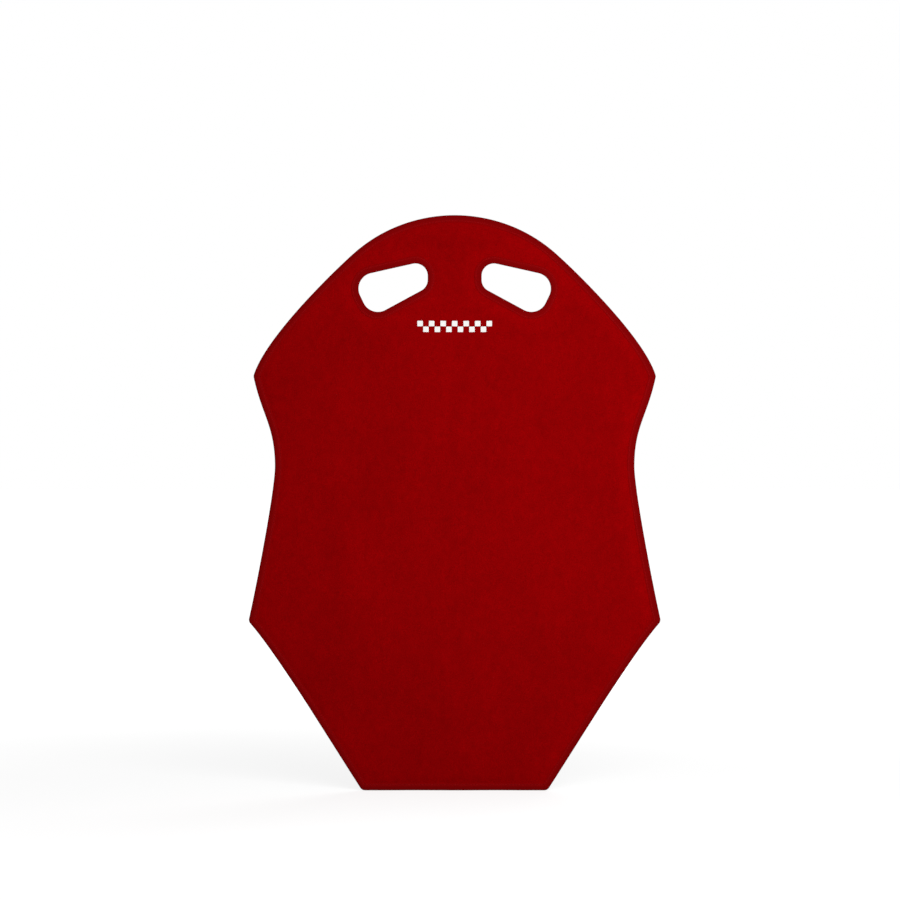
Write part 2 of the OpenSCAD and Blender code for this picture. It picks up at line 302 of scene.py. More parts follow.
class Corner:
    """A rounded corner. Its radius is negative where the fabric lies outside it."""

    LEAST = 0.5 * MM

    def __init__(self, before, after, radius):
        self.point, self.radius = after.points[0], radius
        n1, n2 = inward(before.along[-1]), inward(after.along[0])
        self.mitre = (n1 + n2) / (1 + n1 @ n2)
        self.start = math.atan2(n1[1], n1[0])
        self.turn = (math.atan2(n2[1], n2[0]) - self.start + math.pi) % math.tau - math.pi

    def radius_at(self, s):
        return max(self.radius - s, self.LEAST) if self.radius > 0 else self.radius - s

    def trim(self, s):
        """How much of each side the rounded corner takes, s in from the edge."""
        return (s + self.radius_at(s)) * math.tan(-self.turn / 2)

    def arc(self, s, shares):
        angles = self.start + self.turn * shares
        centre = self.point + (s + self.radius_at(s)) * self.mitre
        return centre - self.radius_at(s) * np.stack([np.cos(angles), np.sin(angles)], axis=-1)


class Edge:
    """A closed edge of the cover, and the rings that run beside it at any distance."""

    def __init__(self, sides, radii):
        self.sides = [Side(points) for points in sides]
        following = self.sides[1:] + self.sides[:1]
        self.corners = [Corner(*around) for around in zip(self.sides, following, radii)]

    def ring(self, s, spacing):
        """A ring s in from the edge. Rings of one spacing have the same number of points."""
        runs = []
        for k, side in enumerate(self.sides):
            before, after = self.corners[k - 1], self.corners[k]
            count = max(1, math.ceil(side.length / spacing))
            spots, ways = side.at(np.linspace(before.trim(s), side.length - after.trim(s), count + 1))
            runs.append(spots + s * inward(ways))
            steps = max(2, math.ceil(abs(after.radius * after.turn) / spacing))
            runs.append(after.arc(s, np.arange(1, steps) / steps))
        return np.concatenate(runs)

    def corner_offsets(self, ring):
        """How far each point of a ring lies past the middle of its nearest corner, or short of it."""
        reach = ring_lengths(ring)
        total = reach[-1]
        offsets = np.full(len(ring), np.inf)
        for corner in self.corners:
            middle = corner.arc(0, np.array([0.5]))[0]
            here = reach[np.argmin(np.linalg.norm(ring - middle, axis=1))]
            past = (reach[:-1] - here + total / 2) % total - total / 2
            offsets = np.where(np.abs(past) < np.abs(offsets), past, offsets)
        return offsets


def cover_edge(o):
    """The outline of the cover, clockwise from the left shoulder point, from its settings."""
    brow = (o.brow_width / 2, o.crown_rise - o.brow_drop)
    shoulder = (o.shoulder_width / 2, -o.shoulder_drop)
    waist = (o.waist_width / 2, -o.waist_drop)
    hip = (o.hip_width / 2, -o.hip_drop)
    foot = (o.foot_width / 2, o.crown_rise - o.height)
    radius = (brow[0] ** 2 + o.brow_drop ** 2) / (2 * o.brow_drop)
    half = math.asin(brow[0] / radius)
    turns = np.linspace(-half, half, 241)
    dome = np.stack([radius * np.sin(turns), o.crown_rise - radius + radius * np.cos(turns)], axis=-1)
    slope = curve(brow, shoulder, math.degrees(half), 74, (0.20, 0.24))
    flank = joined(curve(shoulder, waist, 102, 90, (0.44, 0.44)), curve(waist, hip, 90, 77, (0.14, 0.235)))
    lower = curve(hip, foot, 132, 123, (0.21, 0.28))
    bottom = np.linspace(foot, (-foot[0], foot[1]), 3)
    sides = [joined(flipped(slope), dome, slope), flank, lower, bottom, flipped(lower), flipped(flank)]
    return Edge(sides, [o.point_radius] * len(sides))


def slot_edges(o):
    """The left and the right slot, anticlockwise, so that the fabric lies on the same side as for the
    outline."""
    inner = o.web_width / 2
    corners = np.array([
        (inner, o.inner_height), (inner, 0), (inner + o.low_reach, -o.low_fall),
        (inner + o.top_reach, o.inner_height - o.top_fall),
    ])
    radii = [-o.inner_radius, -o.inner_radius, -o.outer_radius, -o.outer_radius]
    return [
        Edge([np.linspace(a, b, 3) for a, b in zip(points, np.roll(points, -1, axis=0))], np.roll(sizes, -1))
        for points, sizes in ((flipped(corners), radii[::-1]), (corners, radii))
    ]


def edges(scene):
    """The outline, the left slot and the right slot."""
    return [cover_edge(scene.protector_outline), *slot_edges(scene.protector_slots)]


# ---- Meshes ----


def closed_mesh(name, points, blocks, wraps=None):
    """A smooth closed mesh of blocks of like faces, turned so that they point outwards. wraps are the UVs of
    each face's corners."""
    volume = sum(
        np.sum(points[block[:, 0]] * np.cross(points[block[:, k]], points[block[:, k + 1]]))
        for block in blocks for k in range(1, block.shape[1] - 1)
    )
    turned = slice(None, None, 1 if volume > 0 else -1)
    mesh = bpy.data.meshes.new(name)
    mesh.from_pydata(points.tolist(), [], [row for block in blocks for row in block[:, turned].tolist()])
    if wraps is not None:
        layer = mesh.uv_layers.new(name="Run")
        layer.data.foreach_set("uv", wraps[:, turned].astype(np.float32).ravel())
    mesh.shade_smooth()
    mesh.update()
    return mesh


def marked(mesh, name, kind, values, domain="POINT"):
    """Stores a value for each point or face of a mesh under this name."""
    field = "vector" if kind == "FLOAT_VECTOR" else "value"
    values = np.asarray(values, bool if kind == "BOOLEAN" else np.float32)
    mesh.attributes.new(name, kind, domain).data.foreach_set(field, values.ravel())
    return mesh


def coordinates(mesh):
    points = np.empty(len(mesh.vertices) * 3, np.float32)
    mesh.vertices.foreach_get("co", points)
    return points.reshape(-1, 3)


def moved(mesh, points):
    mesh.vertices.foreach_set("co", points.astype(np.float32).ravel())
    mesh.update()
    return mesh


def placed(flat, depth):
    """Points of the XZ plane at a depth in front of the seat shell."""
    return np.stack([flat[:, 0], np.broadcast_to(-np.asarray(depth), len(flat)), flat[:, 1]], axis=-1)


def circuit(start, size):
    """The links of a closed ring of points that are numbered from start."""
    return [(start + i, start + (i + 1) % size) for i in range(size)]


def band(a, b, size):
    """The quads between ring a and ring b."""
    i = np.arange(size)
    j = (i + 1) % size
    return np.stack([a * size + i, a * size + j, b * size + j, b * size + i], axis=-1)


def rounded_rectangle(width, height, radius, steps=5):
    """The corners' points of a rounded rectangle round the origin, anticlockwise."""
    turns = np.radians(np.concatenate([np.linspace(q, q + 90, steps + 1) for q in (0, 90, 180, 270)]))
    middles = np.repeat([(1, 1), (-1, 1), (-1, -1), (1, -1)], steps + 1, axis=0)
    middles = middles * [width / 2 - radius, height / 2 - radius]
    return middles + radius * np.stack([np.cos(turns), np.sin(turns)], axis=-1)


def plate(name, size, levels, radius, steps=5):
    """A flat plate with rounded corners, closed at both ends. levels are (inset, depth) from one face to the
    other, and radius gives the corner radius at an inset."""
    rings = [placed(rounded_rectangle(*(size - 2 * s), radius(s), steps), depth) for s, depth in levels]
    count, last = len(rings[0]), len(rings) - 1
    cap = np.arange(count)[None]
    sides = [band(k, k + 1, count) for k in range(last)]
    return closed_mesh(name, np.concatenate(rings), [cap[:, ::-1], *sides, last * count + cap])


def path_mesh(name, paths):
    """A mesh of edges that follows closed paths, each given as (points, outward direction)."""
    links, start = [], 0
    for points, _ in paths:
        links += circuit(start, len(points))
        start += len(points)
    mesh = bpy.data.meshes.new(name)
    mesh.from_pydata(np.concatenate([points for points, _ in paths]).tolist(), links, [])
    facing = np.concatenate([np.broadcast_to(way, points.shape) for points, way in paths])
    return marked(mesh, "outward", "FLOAT_VECTOR", facing)


def inside(points, ring):
    """Whether each point lies inside a closed ring."""
    x, z = points[:, :1], points[:, 1:]
    a, b = ring, np.roll(ring, -1, axis=0)
    crosses = (a[:, 1] > z) != (b[:, 1] > z)
    with np.errstate(divide="ignore", invalid="ignore"):
        at = (b[:, 0] - a[:, 0]) * (z - a[:, 1]) / (b[:, 1] - a[:, 1]) + a[:, 0]
    return np.count_nonzero(crosses & (x < at), axis=1) % 2 == 1


def on_cover(points, rings):
    """Whether each point lies inside the outline and outside both slots."""
    outline, left, right = (inside(points, ring) for ring in rings)
    return outline & ~left & ~right


class Nearness:
    """How far points of the cover are from its edges, and where along them."""

    STEP = 0.5 * MM
    SOFTNESS = 1.5 * MM

    def __init__(self, cover_edges):
        self.trees, before = [], 0
        outline, *slots = cover_edges
        runs = [
            side.at(np.linspace(0, side.length, math.ceil(side.length / self.STEP) + 1))[0]
            for side in outline.sides
        ] + [slot.ring(0, self.STEP) for slot in slots]
        for run in runs:
            tree = KDTree(len(run))
            for k, spot in enumerate(run):
                tree.insert((*spot, 0), k)
            tree.balance()
            lengths = ring_lengths(run)
            self.trees.append((tree, before + lengths))
            before += lengths[-1]

    def of(self, points):
        """For each point, its distance from the edges, blended where two sides meet, and its place along
        them."""
        found = np.empty((len(self.trees), len(points), 2))
        for k, (tree, lengths) in enumerate(self.trees):
            for i, point in enumerate(points):
                _, index, distance = tree.find((*point, 0))
                found[k, i] = distance, lengths[index]
        nearest = np.argmin(found[:, :, 0], axis=0)
        blended = -self.SOFTNESS * np.log(np.sum(np.exp(-found[:, :, 0] / self.SOFTNESS), axis=0))
        return blended, found[nearest, np.arange(len(points)), 1]


def eased(share):
    share = np.clip(share, 0, 1)
    return share * share * (3 - 2 * share)


def gathers(places, waves, seed):
    """Uneven waves along an edge, from -1 to 1, with these wavelengths in millimetres."""
    rng = np.random.default_rng(seed)
    total = sum(np.sin(math.tau * places / (wave * MM) + rng.uniform(0, math.tau)) for wave in waves)
    return total / len(waves)


def wandering(points, low, high, seed, count=9):
    """A slow random surface from about -1 to 1, made of waves of these lengths in all directions."""
    rng = np.random.default_rng(seed)
    total = np.zeros(len(points))
    for _ in range(count):
        turn, wave, phase = rng.uniform(0, math.tau), rng.uniform(low, high), rng.uniform(0, math.tau)
        total += np.sin(math.tau * (points @ [math.cos(turn), math.sin(turn)]) / wave + phase)
    return total / math.sqrt(count) / 1.4


def panel(name, scene, insets, surfaces):
    """A panel of the cover's shape, settled. insets are its rings' distances from the edges in millimetres,
    its own edge first; surfaces turns points and their nearness into the depths of its back and its front.
    Its attribute edge holds each point's distance from the edges."""
    cover_edges, step = edges(scene), scene.protector_padding.mesh_step
    near = Nearness(cover_edges)
    borders, points, links = [], [], []
    for edge in cover_edges:
        border = edge.ring(insets[0] * MM, RING_STEP)
        links += circuit(sum(map(len, points)), len(border))
        borders.append(border)
        points.append(border)
        curved = [side.points for side in edge.sides if len(side.points) > 3]
        for s in insets[1:]:
            ring = edge.ring(s * MM, RING_STEP)
            if curved:
                # A ring that folds over itself beside a bend loses the points that come too near the edge.
                gaps = np.linalg.norm(ring[:, None] - np.concatenate(curved), axis=2)
                ring = ring[gaps.min(axis=1) > (s - 0.1) * MM]
            points.append(ring)
    low, high = borders[0].min(axis=0), borders[0].max(axis=0)
    columns = np.arange(low[0], high[0], step)
    lattice = np.concatenate([
        np.stack([columns + step / 2 * (k % 2), np.full(len(columns), z)], axis=-1)
        for k, z in enumerate(np.arange(low[1], high[1], step * math.sqrt(3) / 2))
    ])
    lattice = lattice[on_cover(lattice, borders)]
    lattice = lattice[near.of(lattice)[0] > insets[-1] * MM + step / 2]
    made = delaunay_2d_cdt([Vector(p) for p in np.concatenate([*points, lattice])], links, [], 0, 1e-9)
    flat = np.array([tuple(v) for v in made[0]])
    triangles = np.array(made[2])
    triangles = triangles[on_cover(flat[triangles].mean(axis=1), borders)]
    sides = [tuple(side) for pair in ([0, 1], [1, 2], [2, 0]) for side in triangles[:, pair].tolist()]
    shared = set(sides)
    rim = np.array([(a, b) for a, b in sides if (b, a) not in shared])
    size = len(flat)
    blocks = [triangles, triangles[:, ::-1] + size, np.concatenate([rim[:, ::-1], rim + size], axis=1)]
    distance, place = near.of(flat)
    solid = np.concatenate([placed(flat, depth) for depth in surfaces(flat, distance, place)])
    mesh = marked(closed_mesh(name, solid, blocks), "edge", "FLOAT", np.tile(distance, 2))
    return settled(scene, mesh)


def face_depth(scene, flat, distance, place):
    """The depth of the velour's surface: level under the bindings, then crowned, gathered and uneven."""
    padding, binding = scene.protector_padding, scene.protector_binding
    seam = BINDING_DEPTHS[1] - binding.tape_thickness
    away = np.clip((distance - binding.tape_width) / padding.swell_width, 0, None)
    rise = 1 - (1 - np.clip(away, 0, 1)) ** 2
    # The gathers are highest where fading is 1, nearly halfway across the swell, and die out further in.
    fading = 2.2 * away
    gathered = fading * np.exp(1 - fading)
    depth = seam + (FACE_DEPTHS[1] - seam) * rise
    depth += padding.pucker * gathered * gathers(place, (9.1, 13.7, 23, 41), seed=11)
    depth += padding.wander * eased(away / 3) * (wandering(flat, 0.11, 0.28, seed=5) - 0.3)
    return depth


# ---- Node trees ----


def in_use(sockets):
    """The sockets that a node's settings leave in use, by number and by name."""
    left = [socket for socket in sockets if socket.enabled]
    return {key: socket for number, socket in enumerate(left) for key in (number, socket.name)}


def add(tree, kind, inputs=(), **settings):
    """Adds a node with its settings. Its inputs go to its sockets in order, or by name. Each is a value, a
    socket, or another node, which stands for its first output."""
    node = tree.nodes.new(kind)
    for name, value in settings.items():
        setattr(node, name, value)
    sockets = in_use(node.inputs)
    for key, value in inputs.items() if isinstance(inputs, dict) else enumerate(inputs):
        if isinstance(value, bpy.types.Node):
            value = in_use(value.outputs)[0]
        if isinstance(value, bpy.types.NodeSocket):
            tree.links.new(value, sockets[key])
        else:
            sockets[key].default_value = value
    return node


def geometry_tree(name, sizes, counts=()):
    """An empty Geometry Nodes tree with named inputs for these sizes and counts, and its given values."""
    tree = bpy.data.node_groups.new(name, "GeometryNodeTree")
    labels = {"Geometry": "Geometry", **dict.fromkeys(sizes, "Float"), **dict.fromkeys(counts, "Int")}
    for label, kind in {**labels, "Material": "Material"}.items():
        tree.interface.new_socket(label, in_out="INPUT", socket_type=f"NodeSocket{kind}")
    tree.interface.new_socket("Geometry", in_out="OUTPUT", socket_type="NodeSocketGeometry")
    return tree, add(tree, "NodeGroupInput").outputs


def end_tree(tree, given, geometry, smooth=True):
    """Ends a tree in real geometry with its material."""
    real = add(tree, "GeometryNodeRealizeInstances", [geometry])
    shaded = add(tree, "GeometryNodeSetShadeSmooth", {"Geometry": real, "Shade Smooth": smooth})
    dressed = add(tree, "GeometryNodeSetMaterial", {"Geometry": shaded, "Material": given["Material"]})
    add(tree, "NodeGroupOutput", [dressed])
    return tree


def strand(tree, thickness, steps, sides, bends):
    """A round strand that starts at the first of three bends, leans towards the second and ends at the third.
    A bend is a sum of sizes times directions."""
    spots = []
    for bend in bends:
        spot = (0, 0, 0)
        for size, way in bend:
            spot = add(tree, "ShaderNodeVectorMath", [size, way, spot], operation="MULTIPLY_ADD")
        spots.append(spot)
    line = add(tree, "GeometryNodeCurveQuadraticBezier", [steps, *spots])
    radius = add(tree, "ShaderNodeMath", [thickness, 0.5], operation="MULTIPLY")
    section = add(tree, "GeometryNodeCurvePrimitiveCircle", {"Resolution": sides, "Radius": radius})
    return add(tree, "GeometryNodeCurveToMesh", {"Curve": line, "Profile Curve": section, "Fill Caps": True})


def swayed(tree, rotation, least, most, seed):
    """A rotation with a random turn of its own for each copy, between these turns about X, Y and Z."""
    sway = add(tree, "FunctionNodeRandomValue", {
        "Min": least, "Max": most, "Seed": seed,
    }, data_type="FLOAT_VECTOR")
    turn = add(tree, "FunctionNodeEulerToRotation", [sway])
    return add(tree, "FunctionNodeRotateRotation", [rotation, turn], rotation_space="LOCAL")


def planted(tree, given, points, shape, rotation, scale=(1, 1, 1)):
    """The given geometry with a copy of a shape on each of these points."""
    copies = add(tree, "GeometryNodeInstanceOnPoints", {
        "Points": points, "Instance": shape, "Rotation": rotation, "Scale": scale,
    })
    whole = add(tree, "GeometryNodeJoinGeometry", [copies])
    tree.links.new(given["Geometry"], whole.inputs[0])
    return whole


def lockstitch_tree():
    """Stitches along closed paths whose points carry the outward direction of what they are sewn to."""
    tree, given = geometry_tree("Lockstitch seam", ["Pitch", "Stitch length", "Thread width"])
    path = add(tree, "GeometryNodeMeshToCurve", [given["Geometry"]])
    run = add(tree, "GeometryNodeSplineLength")
    share = add(tree, "ShaderNodeMath", [run, given["Pitch"]], operation="DIVIDE")
    count = add(tree, "ShaderNodeMath", [share], operation="ROUND")
    spots = add(tree, "GeometryNodeResampleCurve", {"Curve": path, "Count": count}, mode="COUNT")
    outward = add(tree, "GeometryNodeInputNamedAttribute", ["outward"], data_type="FLOAT_VECTOR")
    along = add(tree, "GeometryNodeInputTangent")
    lie = add(tree, "FunctionNodeAlignRotationToVector", {"Vector": along}, axis="X")
    stand = add(tree, "FunctionNodeAlignRotationToVector", {
        "Rotation": lie, "Vector": outward,
    }, axis="Z", pivot_axis="X")
    turned = swayed(tree, stand, (-0.05, -0.05, 0.03), (0.05, 0.05, 0.17), seed=3)
    span, thread = given["Stitch length"], given["Thread width"]
    stitch = strand(tree, thread, 6, 6, [
        [(span, (-0.5, 0, 0)), (thread, (0, 0, -0.8))],
        [(thread, (0, 0, 1.1))],
        [(span, (0.5, 0, 0)), (thread, (0, 0, -0.8))],
    ])
    seam = add(tree, "GeometryNodeInstanceOnPoints", {
        "Points": spots, "Instance": stitch, "Rotation": turned,
    })
    return end_tree(tree, given, seam)


def hook_tree():
    """Rows of hooks on the front of the pad that it is given. Every second row faces the other way."""
    tree, given = geometry_tree("Hook rows", [
        "Width", "Height", "Root", "Tip", "Row pitch", "Hook pitch", "Hook thickness",
    ])

    def filled(size, pitch):
        """How many copies fit along a size at this pitch, and the length that they take up."""
        gaps = add(tree, "ShaderNodeMath", [given[size], given[pitch]], operation="DIVIDE")
        whole = add(tree, "ShaderNodeMath", [gaps], operation="FLOOR")
        copies = add(tree, "ShaderNodeMath", [whole, 1], operation="ADD")
        return copies, add(tree, "ShaderNodeMath", [whole, given[pitch]], operation="MULTIPLY")

    rows, across = filled("Width", "Row pitch")
    hooks, along = filled("Height", "Hook pitch")
    grid = add(tree, "GeometryNodeMeshGrid", [across, along, rows, hooks])
    level = add(tree, "ShaderNodeVectorMath", [given["Root"], (0, -1, 0)], operation="MULTIPLY")
    upright = add(tree, "GeometryNodeTransform", {
        "Geometry": grid, "Translation": level, "Rotation": (math.pi / 2, 0, 0),
    })
    index = add(tree, "GeometryNodeInputIndex")
    share = add(tree, "ShaderNodeMath", [index, hooks], operation="DIVIDE")
    row = add(tree, "ShaderNodeMath", [share], operation="FLOOR")
    odd = add(tree, "ShaderNodeMath", [row, 2], operation="MODULO")
    sway = add(tree, "FunctionNodeRandomValue", {"Min": -0.25, "Max": 0.25, "Seed": 7}, data_type="FLOAT")
    yaw = add(tree, "ShaderNodeMath", [odd, math.pi, sway], operation="MULTIPLY_ADD")
    turn = add(tree, "ShaderNodeCombineXYZ", [math.pi / 2, yaw])
    high = add(tree, "ShaderNodeMath", [given["Tip"], given["Root"]], operation="SUBTRACT")
    thickness = given["Hook thickness"]
    hook = strand(tree, thickness, 5, 4, [
        [(high, (0, -0.3, 0)), (thickness, (0, 0, -0.5))],
        [(high, (0, -0.3, 1.45))],
        [(high, (0, 0.5, 0.42))],
    ])
    return end_tree(tree, given, planted(tree, given, upright, hook, turn))


def loop_tree():
    """A pile of small loops on those faces of a patch that carry the mark pile."""
    tree, given = geometry_tree("Loop pile", ["Spacing", "Height", "Loop thickness"], ["Seed"])
    pile = add(tree, "GeometryNodeInputNamedAttribute", ["pile"], data_type="BOOLEAN")
    spots = add(tree, "GeometryNodeDistributePointsOnFaces", {
        "Mesh": given["Geometry"], "Selection": pile, "Distance Min": given["Spacing"],
        "Density Max": 2000000, "Seed": given["Seed"],
    }, distribute_method="POISSON").outputs
    turned = swayed(tree, spots["Rotation"], (-0.5, -0.5, 0), (0.5, 0.5, math.tau), given["Seed"])
    size = add(tree, "FunctionNodeRandomValue", {"Min": 0.75, "Max": 1.0, "Seed": 5}, data_type="FLOAT")
    spacing, thickness = given["Spacing"], given["Loop thickness"]
    loop = strand(tree, thickness, 4, 3, [
        [(spacing, (-0.42, 0, 0)), (thickness, (0, 0, -0.6))],
        [(given["Height"], (0, 0, 2))],
        [(spacing, (0.42, 0, 0)), (thickness, (0, 0, -0.6))],
    ])
    return end_tree(tree, given, planted(tree, given, spots["Points"], loop, turned, size))


def square_tree():
    """A thin rounded square of film on each point, facing the way that the point's outward says."""
    tree, given = geometry_tree("Printed squares", ["Side", "Corner", "Film"])
    border = add(tree, "GeometryNodeCurvePrimitiveQuadrilateral", [given["Side"], given["Side"]])
    rounded = add(tree, "GeometryNodeFilletCurve", [border, 4, given["Corner"]], mode="POLY")
    sheet = add(tree, "GeometryNodeFillCurve", [rounded], mode="NGONS")
    up = add(tree, "ShaderNodeCombineXYZ", {"Z": given["Film"]})
    raised = add(tree, "GeometryNodeExtrudeMesh", {
        "Mesh": sheet, "Offset": up, "Individual": False,
    }, mode="FACES")
    under = add(tree, "GeometryNodeFlipFaces", [sheet])
    film = add(tree, "GeometryNodeJoinGeometry", [under])
    tree.links.new(raised.outputs[0], film.inputs[0])
    sealed = add(tree, "GeometryNodeMergeByDistance", {"Geometry": film, "Distance": 0.01 * MM})
    facing = add(tree, "GeometryNodeInputNamedAttribute", ["outward"], data_type="FLOAT_VECTOR")
    turn = add(tree, "FunctionNodeAlignRotationToVector", {"Vector": facing}, axis="Z")
    laid = add(tree, "GeometryNodeInstanceOnPoints", {
        "Points": given["Geometry"], "Instance": sealed, "Rotation": turn,
    })
    return end_tree(tree, given, laid, smooth=False)


def grown(name, tree, mesh, material, **sizes):
    """The plain mesh that a Geometry Nodes tree makes of a mesh, with this material and these sizes."""
    holder = placed_object(name, mesh)
    modifier = holder.modifiers.new("Grow", "NODES")
    modifier.node_group = tree
    wanted = {key.replace("_", " ").capitalize(): size for key, size in sizes.items()}
    wanted["Material"] = material
    for item in tree.interface.items_tree:
        if item.in_out == "INPUT" and item.name in wanted:
            modifier[item.identifier] = wanted[item.name]
    holder.update_tag()
    graph = bpy.context.evaluated_depsgraph_get()
    made = bpy.data.meshes.new_from_object(holder.evaluated_get(graph), depsgraph=graph)
    bpy.data.objects.remove(holder)
    return made


# ---- Finishes ----


def surface(name, shade, roughness, specular, **more):
    """A material with its shader's own values set, its node tree, and the cover's own coordinates."""
    material = bpy.data.materials.new(name)
    material.use_nodes = True
    tree = material.node_tree
    values = {"Base Color": (*shade, 1), "Roughness": roughness, "Specular IOR Level": specular}
    values |= {key.replace("_", " ").title(): value for key, value in more.items()}
    for label, value in values.items():
        tree.nodes["Principled BSDF"].inputs[label].default_value = value
    return material, tree, add(tree, "ShaderNodeTexCoord").outputs["Object"]


def patterned(material, shades, heights, depth):
    """Varies a material's colour by a product of shades, each (pattern, factor at 0, factor at 1), and raises
    its surface by a sum of heights, each (pattern, share), this deep in metres."""
    tree = material.node_tree
    shader = tree.nodes["Principled BSDF"].inputs
    factor, height = 1.0, 0.0
    for pattern, low, high in shades:
        grey = add(tree, "ShaderNodeMapRange", {"Value": pattern, "To Min": low, "To Max": high})
        factor = add(tree, "ShaderNodeMath", [factor, grey], operation="MULTIPLY")
    plain = shader["Base Color"].default_value[:3]
    shade = add(tree, "ShaderNodeVectorMath", [plain, factor], operation="SCALE")
    tree.links.new(shade.outputs[0], shader["Base Color"])
    for pattern, share in heights:
        height = add(tree, "ShaderNodeMath", [pattern, share, height], operation="MULTIPLY_ADD")
    bump = add(tree, "ShaderNodeBump", {"Height": height, "Distance": depth})
    tree.links.new(bump.outputs[0], shader["Normal"])
    return material


def clumps(tree, where, size, detail=2.0, stretch=(1, 1, 1), distortion=0.0):
    """Soft clumps about this size, in metres, and this much longer or shorter along each axis."""
    at = add(tree, "ShaderNodeMapping", {"Vector": where, "Scale": [1 / k for k in stretch]})
    return add(tree, "ShaderNodeTexNoise", {
        "Vector": at, "Scale": 1 / size, "Detail": detail, "Distortion": distortion,
    })


def velour_finish(shade):
    """Polyester velour, cut pile: matte and deep, with a soft glow at grazing angles and patches where the
    pile lies another way. Its tufts stand 0.7 mm apart, and lean together in clumps about 2.4 mm wide. Over
    the swell beside a binding its colour is painted a little lighter, a painted highlight for the light
    there."""
    material, tree, at = surface(
        "Cut-pile velour", shade, 1.0, 0.02,
        sheen_weight=0.3, sheen_roughness=0.3, sheen_tint=(0.85, 0.015, 0.02, 1),
    )
    lay = clumps(tree, at, 0.075, detail=3.0, stretch=(1, 1, 1.6), distortion=0.7)
    crushed = clumps(tree, at, 0.009, stretch=(1, 1, 1.4), distortion=0.4)
    leaning = clumps(tree, at, 2.4 * MM, stretch=(1, 1, 1.5))
    tufts = clumps(tree, at, 0.7 * MM, detail=1.0, stretch=(1, 1, 1.5))
    edge = add(tree, "ShaderNodeAttribute", attribute_name="edge").outputs["Fac"]
    # Painted highlight: the velour is painted 8 % lighter near the bindings, fading out from 16 to 34 mm in.
    painted_swell_highlight = add(tree, "ShaderNodeMapRange", [edge, 16 * MM, 34 * MM, 1, 0], interpolation_type="SMOOTHSTEP")
    return patterned(material, [
        (lay, 0.86, 1.12), (crushed, 0.84, 1.14), (leaning, 0.86, 1.12), (tufts, 0.55, 1.42),
        (painted_swell_highlight, 1.0, 1.08),
    ], [(leaning, 0.4), (tufts, 0.6)], 0.45 * MM)


def tape_finish(shade):
    """Woven polyester grosgrain: a low sheen and fine ribs across the tape. Along its fold the tape is
    painted darker, a painted shade where it rolls round the edge. The ribs are drawn 1.5 mm apart, twice the
    real distance, so that they show."""
    material, tree, at = surface(
        "Woven grosgrain", shade, 0.85, 0.03,
        sheen_weight=0.06, sheen_roughness=0.4, sheen_tint=(0.8, 0.02, 0.03, 1),
    )
    run = add(tree, "ShaderNodeUVMap", uv_map="Run")
    ribs = add(tree, "ShaderNodeTexWave", {
        "Vector": run, "Scale": math.tau / (20 * 1.5 * MM), "Distortion": 0.4, "Detail": 1.0,
    }, wave_type="BANDS", bands_direction="X").outputs["Fac"]
    yarn = clumps(tree, at, 0.8 * MM)
    worn = clumps(tree, at, 0.03)
    # Painted shade: the tape is painted up to a fifth darker within 11 mm of its fold.
    past = add(tree, "ShaderNodeSeparateXYZ", [run]).outputs["Y"]
    away = add(tree, "ShaderNodeMath", [past], operation="ABSOLUTE")
    painted_fold_shade = add(tree, "ShaderNodeMapRange", [away, 5 * MM, 11 * MM], interpolation_type="SMOOTHSTEP")
    return patterned(material, [
        (ribs, 0.82, 1.08), (yarn, 0.92, 1.07), (worn, 0.94, 1.06), (painted_fold_shade, 0.80, 1.0),
    ], [(ribs, 0.7), (yarn, 0.3)], 0.16 * MM)


def thread_finish(name, shade):
    """Bonded polyester thread: a slight gloss, and its plies show as a fine twist."""
    material, tree, at = surface(name, shade, 0.6, 0.08)
    twist = add(tree, "ShaderNodeTexWave", {
        "Vector": at, "Scale": math.tau / (20 * 0.7 * MM), "Distortion": 0.6, "Detail": 1.0,
    }, wave_type="BANDS", bands_direction="DIAGONAL").outputs["Fac"]
    return patterned(material, [(twist, 0.72, 1.22)], [(twist, 1)], 0.09 * MM)


def foam_finish(shade):
    """Open-cell polyether foam: dull, with small round cells."""
    material, tree, at = surface("Open-cell foam", shade, 0.95, 0.2)
    cells = add(tree, "ShaderNodeTexVoronoi", {"Vector": at, "Scale": 1 / (0.9 * MM)})
    blotches = clumps(tree, at, 0.012)
    return patterned(material, [(cells, 0.55, 1.25), (blotches, 0.9, 1.1)], [(cells, 1)], 0.4 * MM)


def lining_finish(shade):
    """Warp-knit tricot: dark and soft, with upright wales of slanting stitches. The wales are drawn 1.6 mm
    apart and the stitches 1.2 mm, about twice the real distances, so that they show."""
    material, tree, at = surface(
        "Warp-knit tricot", shade, 0.85, 0.25, sheen_weight=0.12, sheen_roughness=0.45,
    )
    wale, course, slant = 1.6 * MM, 1.2 * MM, 1.5
    drift = clumps(tree, at, 0.02, detail=1.0)
    x, _, z = add(tree, "ShaderNodeSeparateXYZ", [at]).outputs
    across = add(tree, "ShaderNodeMath", [x, 1 / wale, drift], operation="MULTIPLY_ADD")
    side = add(tree, "ShaderNodeMath", [across, 0.5], operation="PINGPONG")
    turn = add(tree, "ShaderNodeMath", [side, math.tau], operation="MULTIPLY")
    leg = add(tree, "ShaderNodeMath", [turn], operation="SINE")
    up = add(tree, "ShaderNodeMath", [z, math.tau / course, slant * math.pi], operation="MULTIPLY_ADD")
    lean = add(tree, "ShaderNodeMath", [turn, -slant, up], operation="MULTIPLY_ADD")
    wave = add(tree, "ShaderNodeMath", [lean], operation="SINE")
    raised = add(tree, "ShaderNodeMath", [wave, 0.35, 0.65], operation="MULTIPLY_ADD")
    stitches = add(tree, "ShaderNodeMath", [raised, leg], operation="MULTIPLY")
    nap = clumps(tree, at, 0.05, detail=3.0, stretch=(1, 1, 1.7), distortion=0.5)
    fuzz = clumps(tree, at, 0.5 * MM)
    return patterned(material, [
        (stitches, 0.45, 1.35), (nap, 0.85, 1.18), (fuzz, 0.85, 1.15),
    ], [(stitches, 0.8), (fuzz, 0.2)], 0.35 * MM)


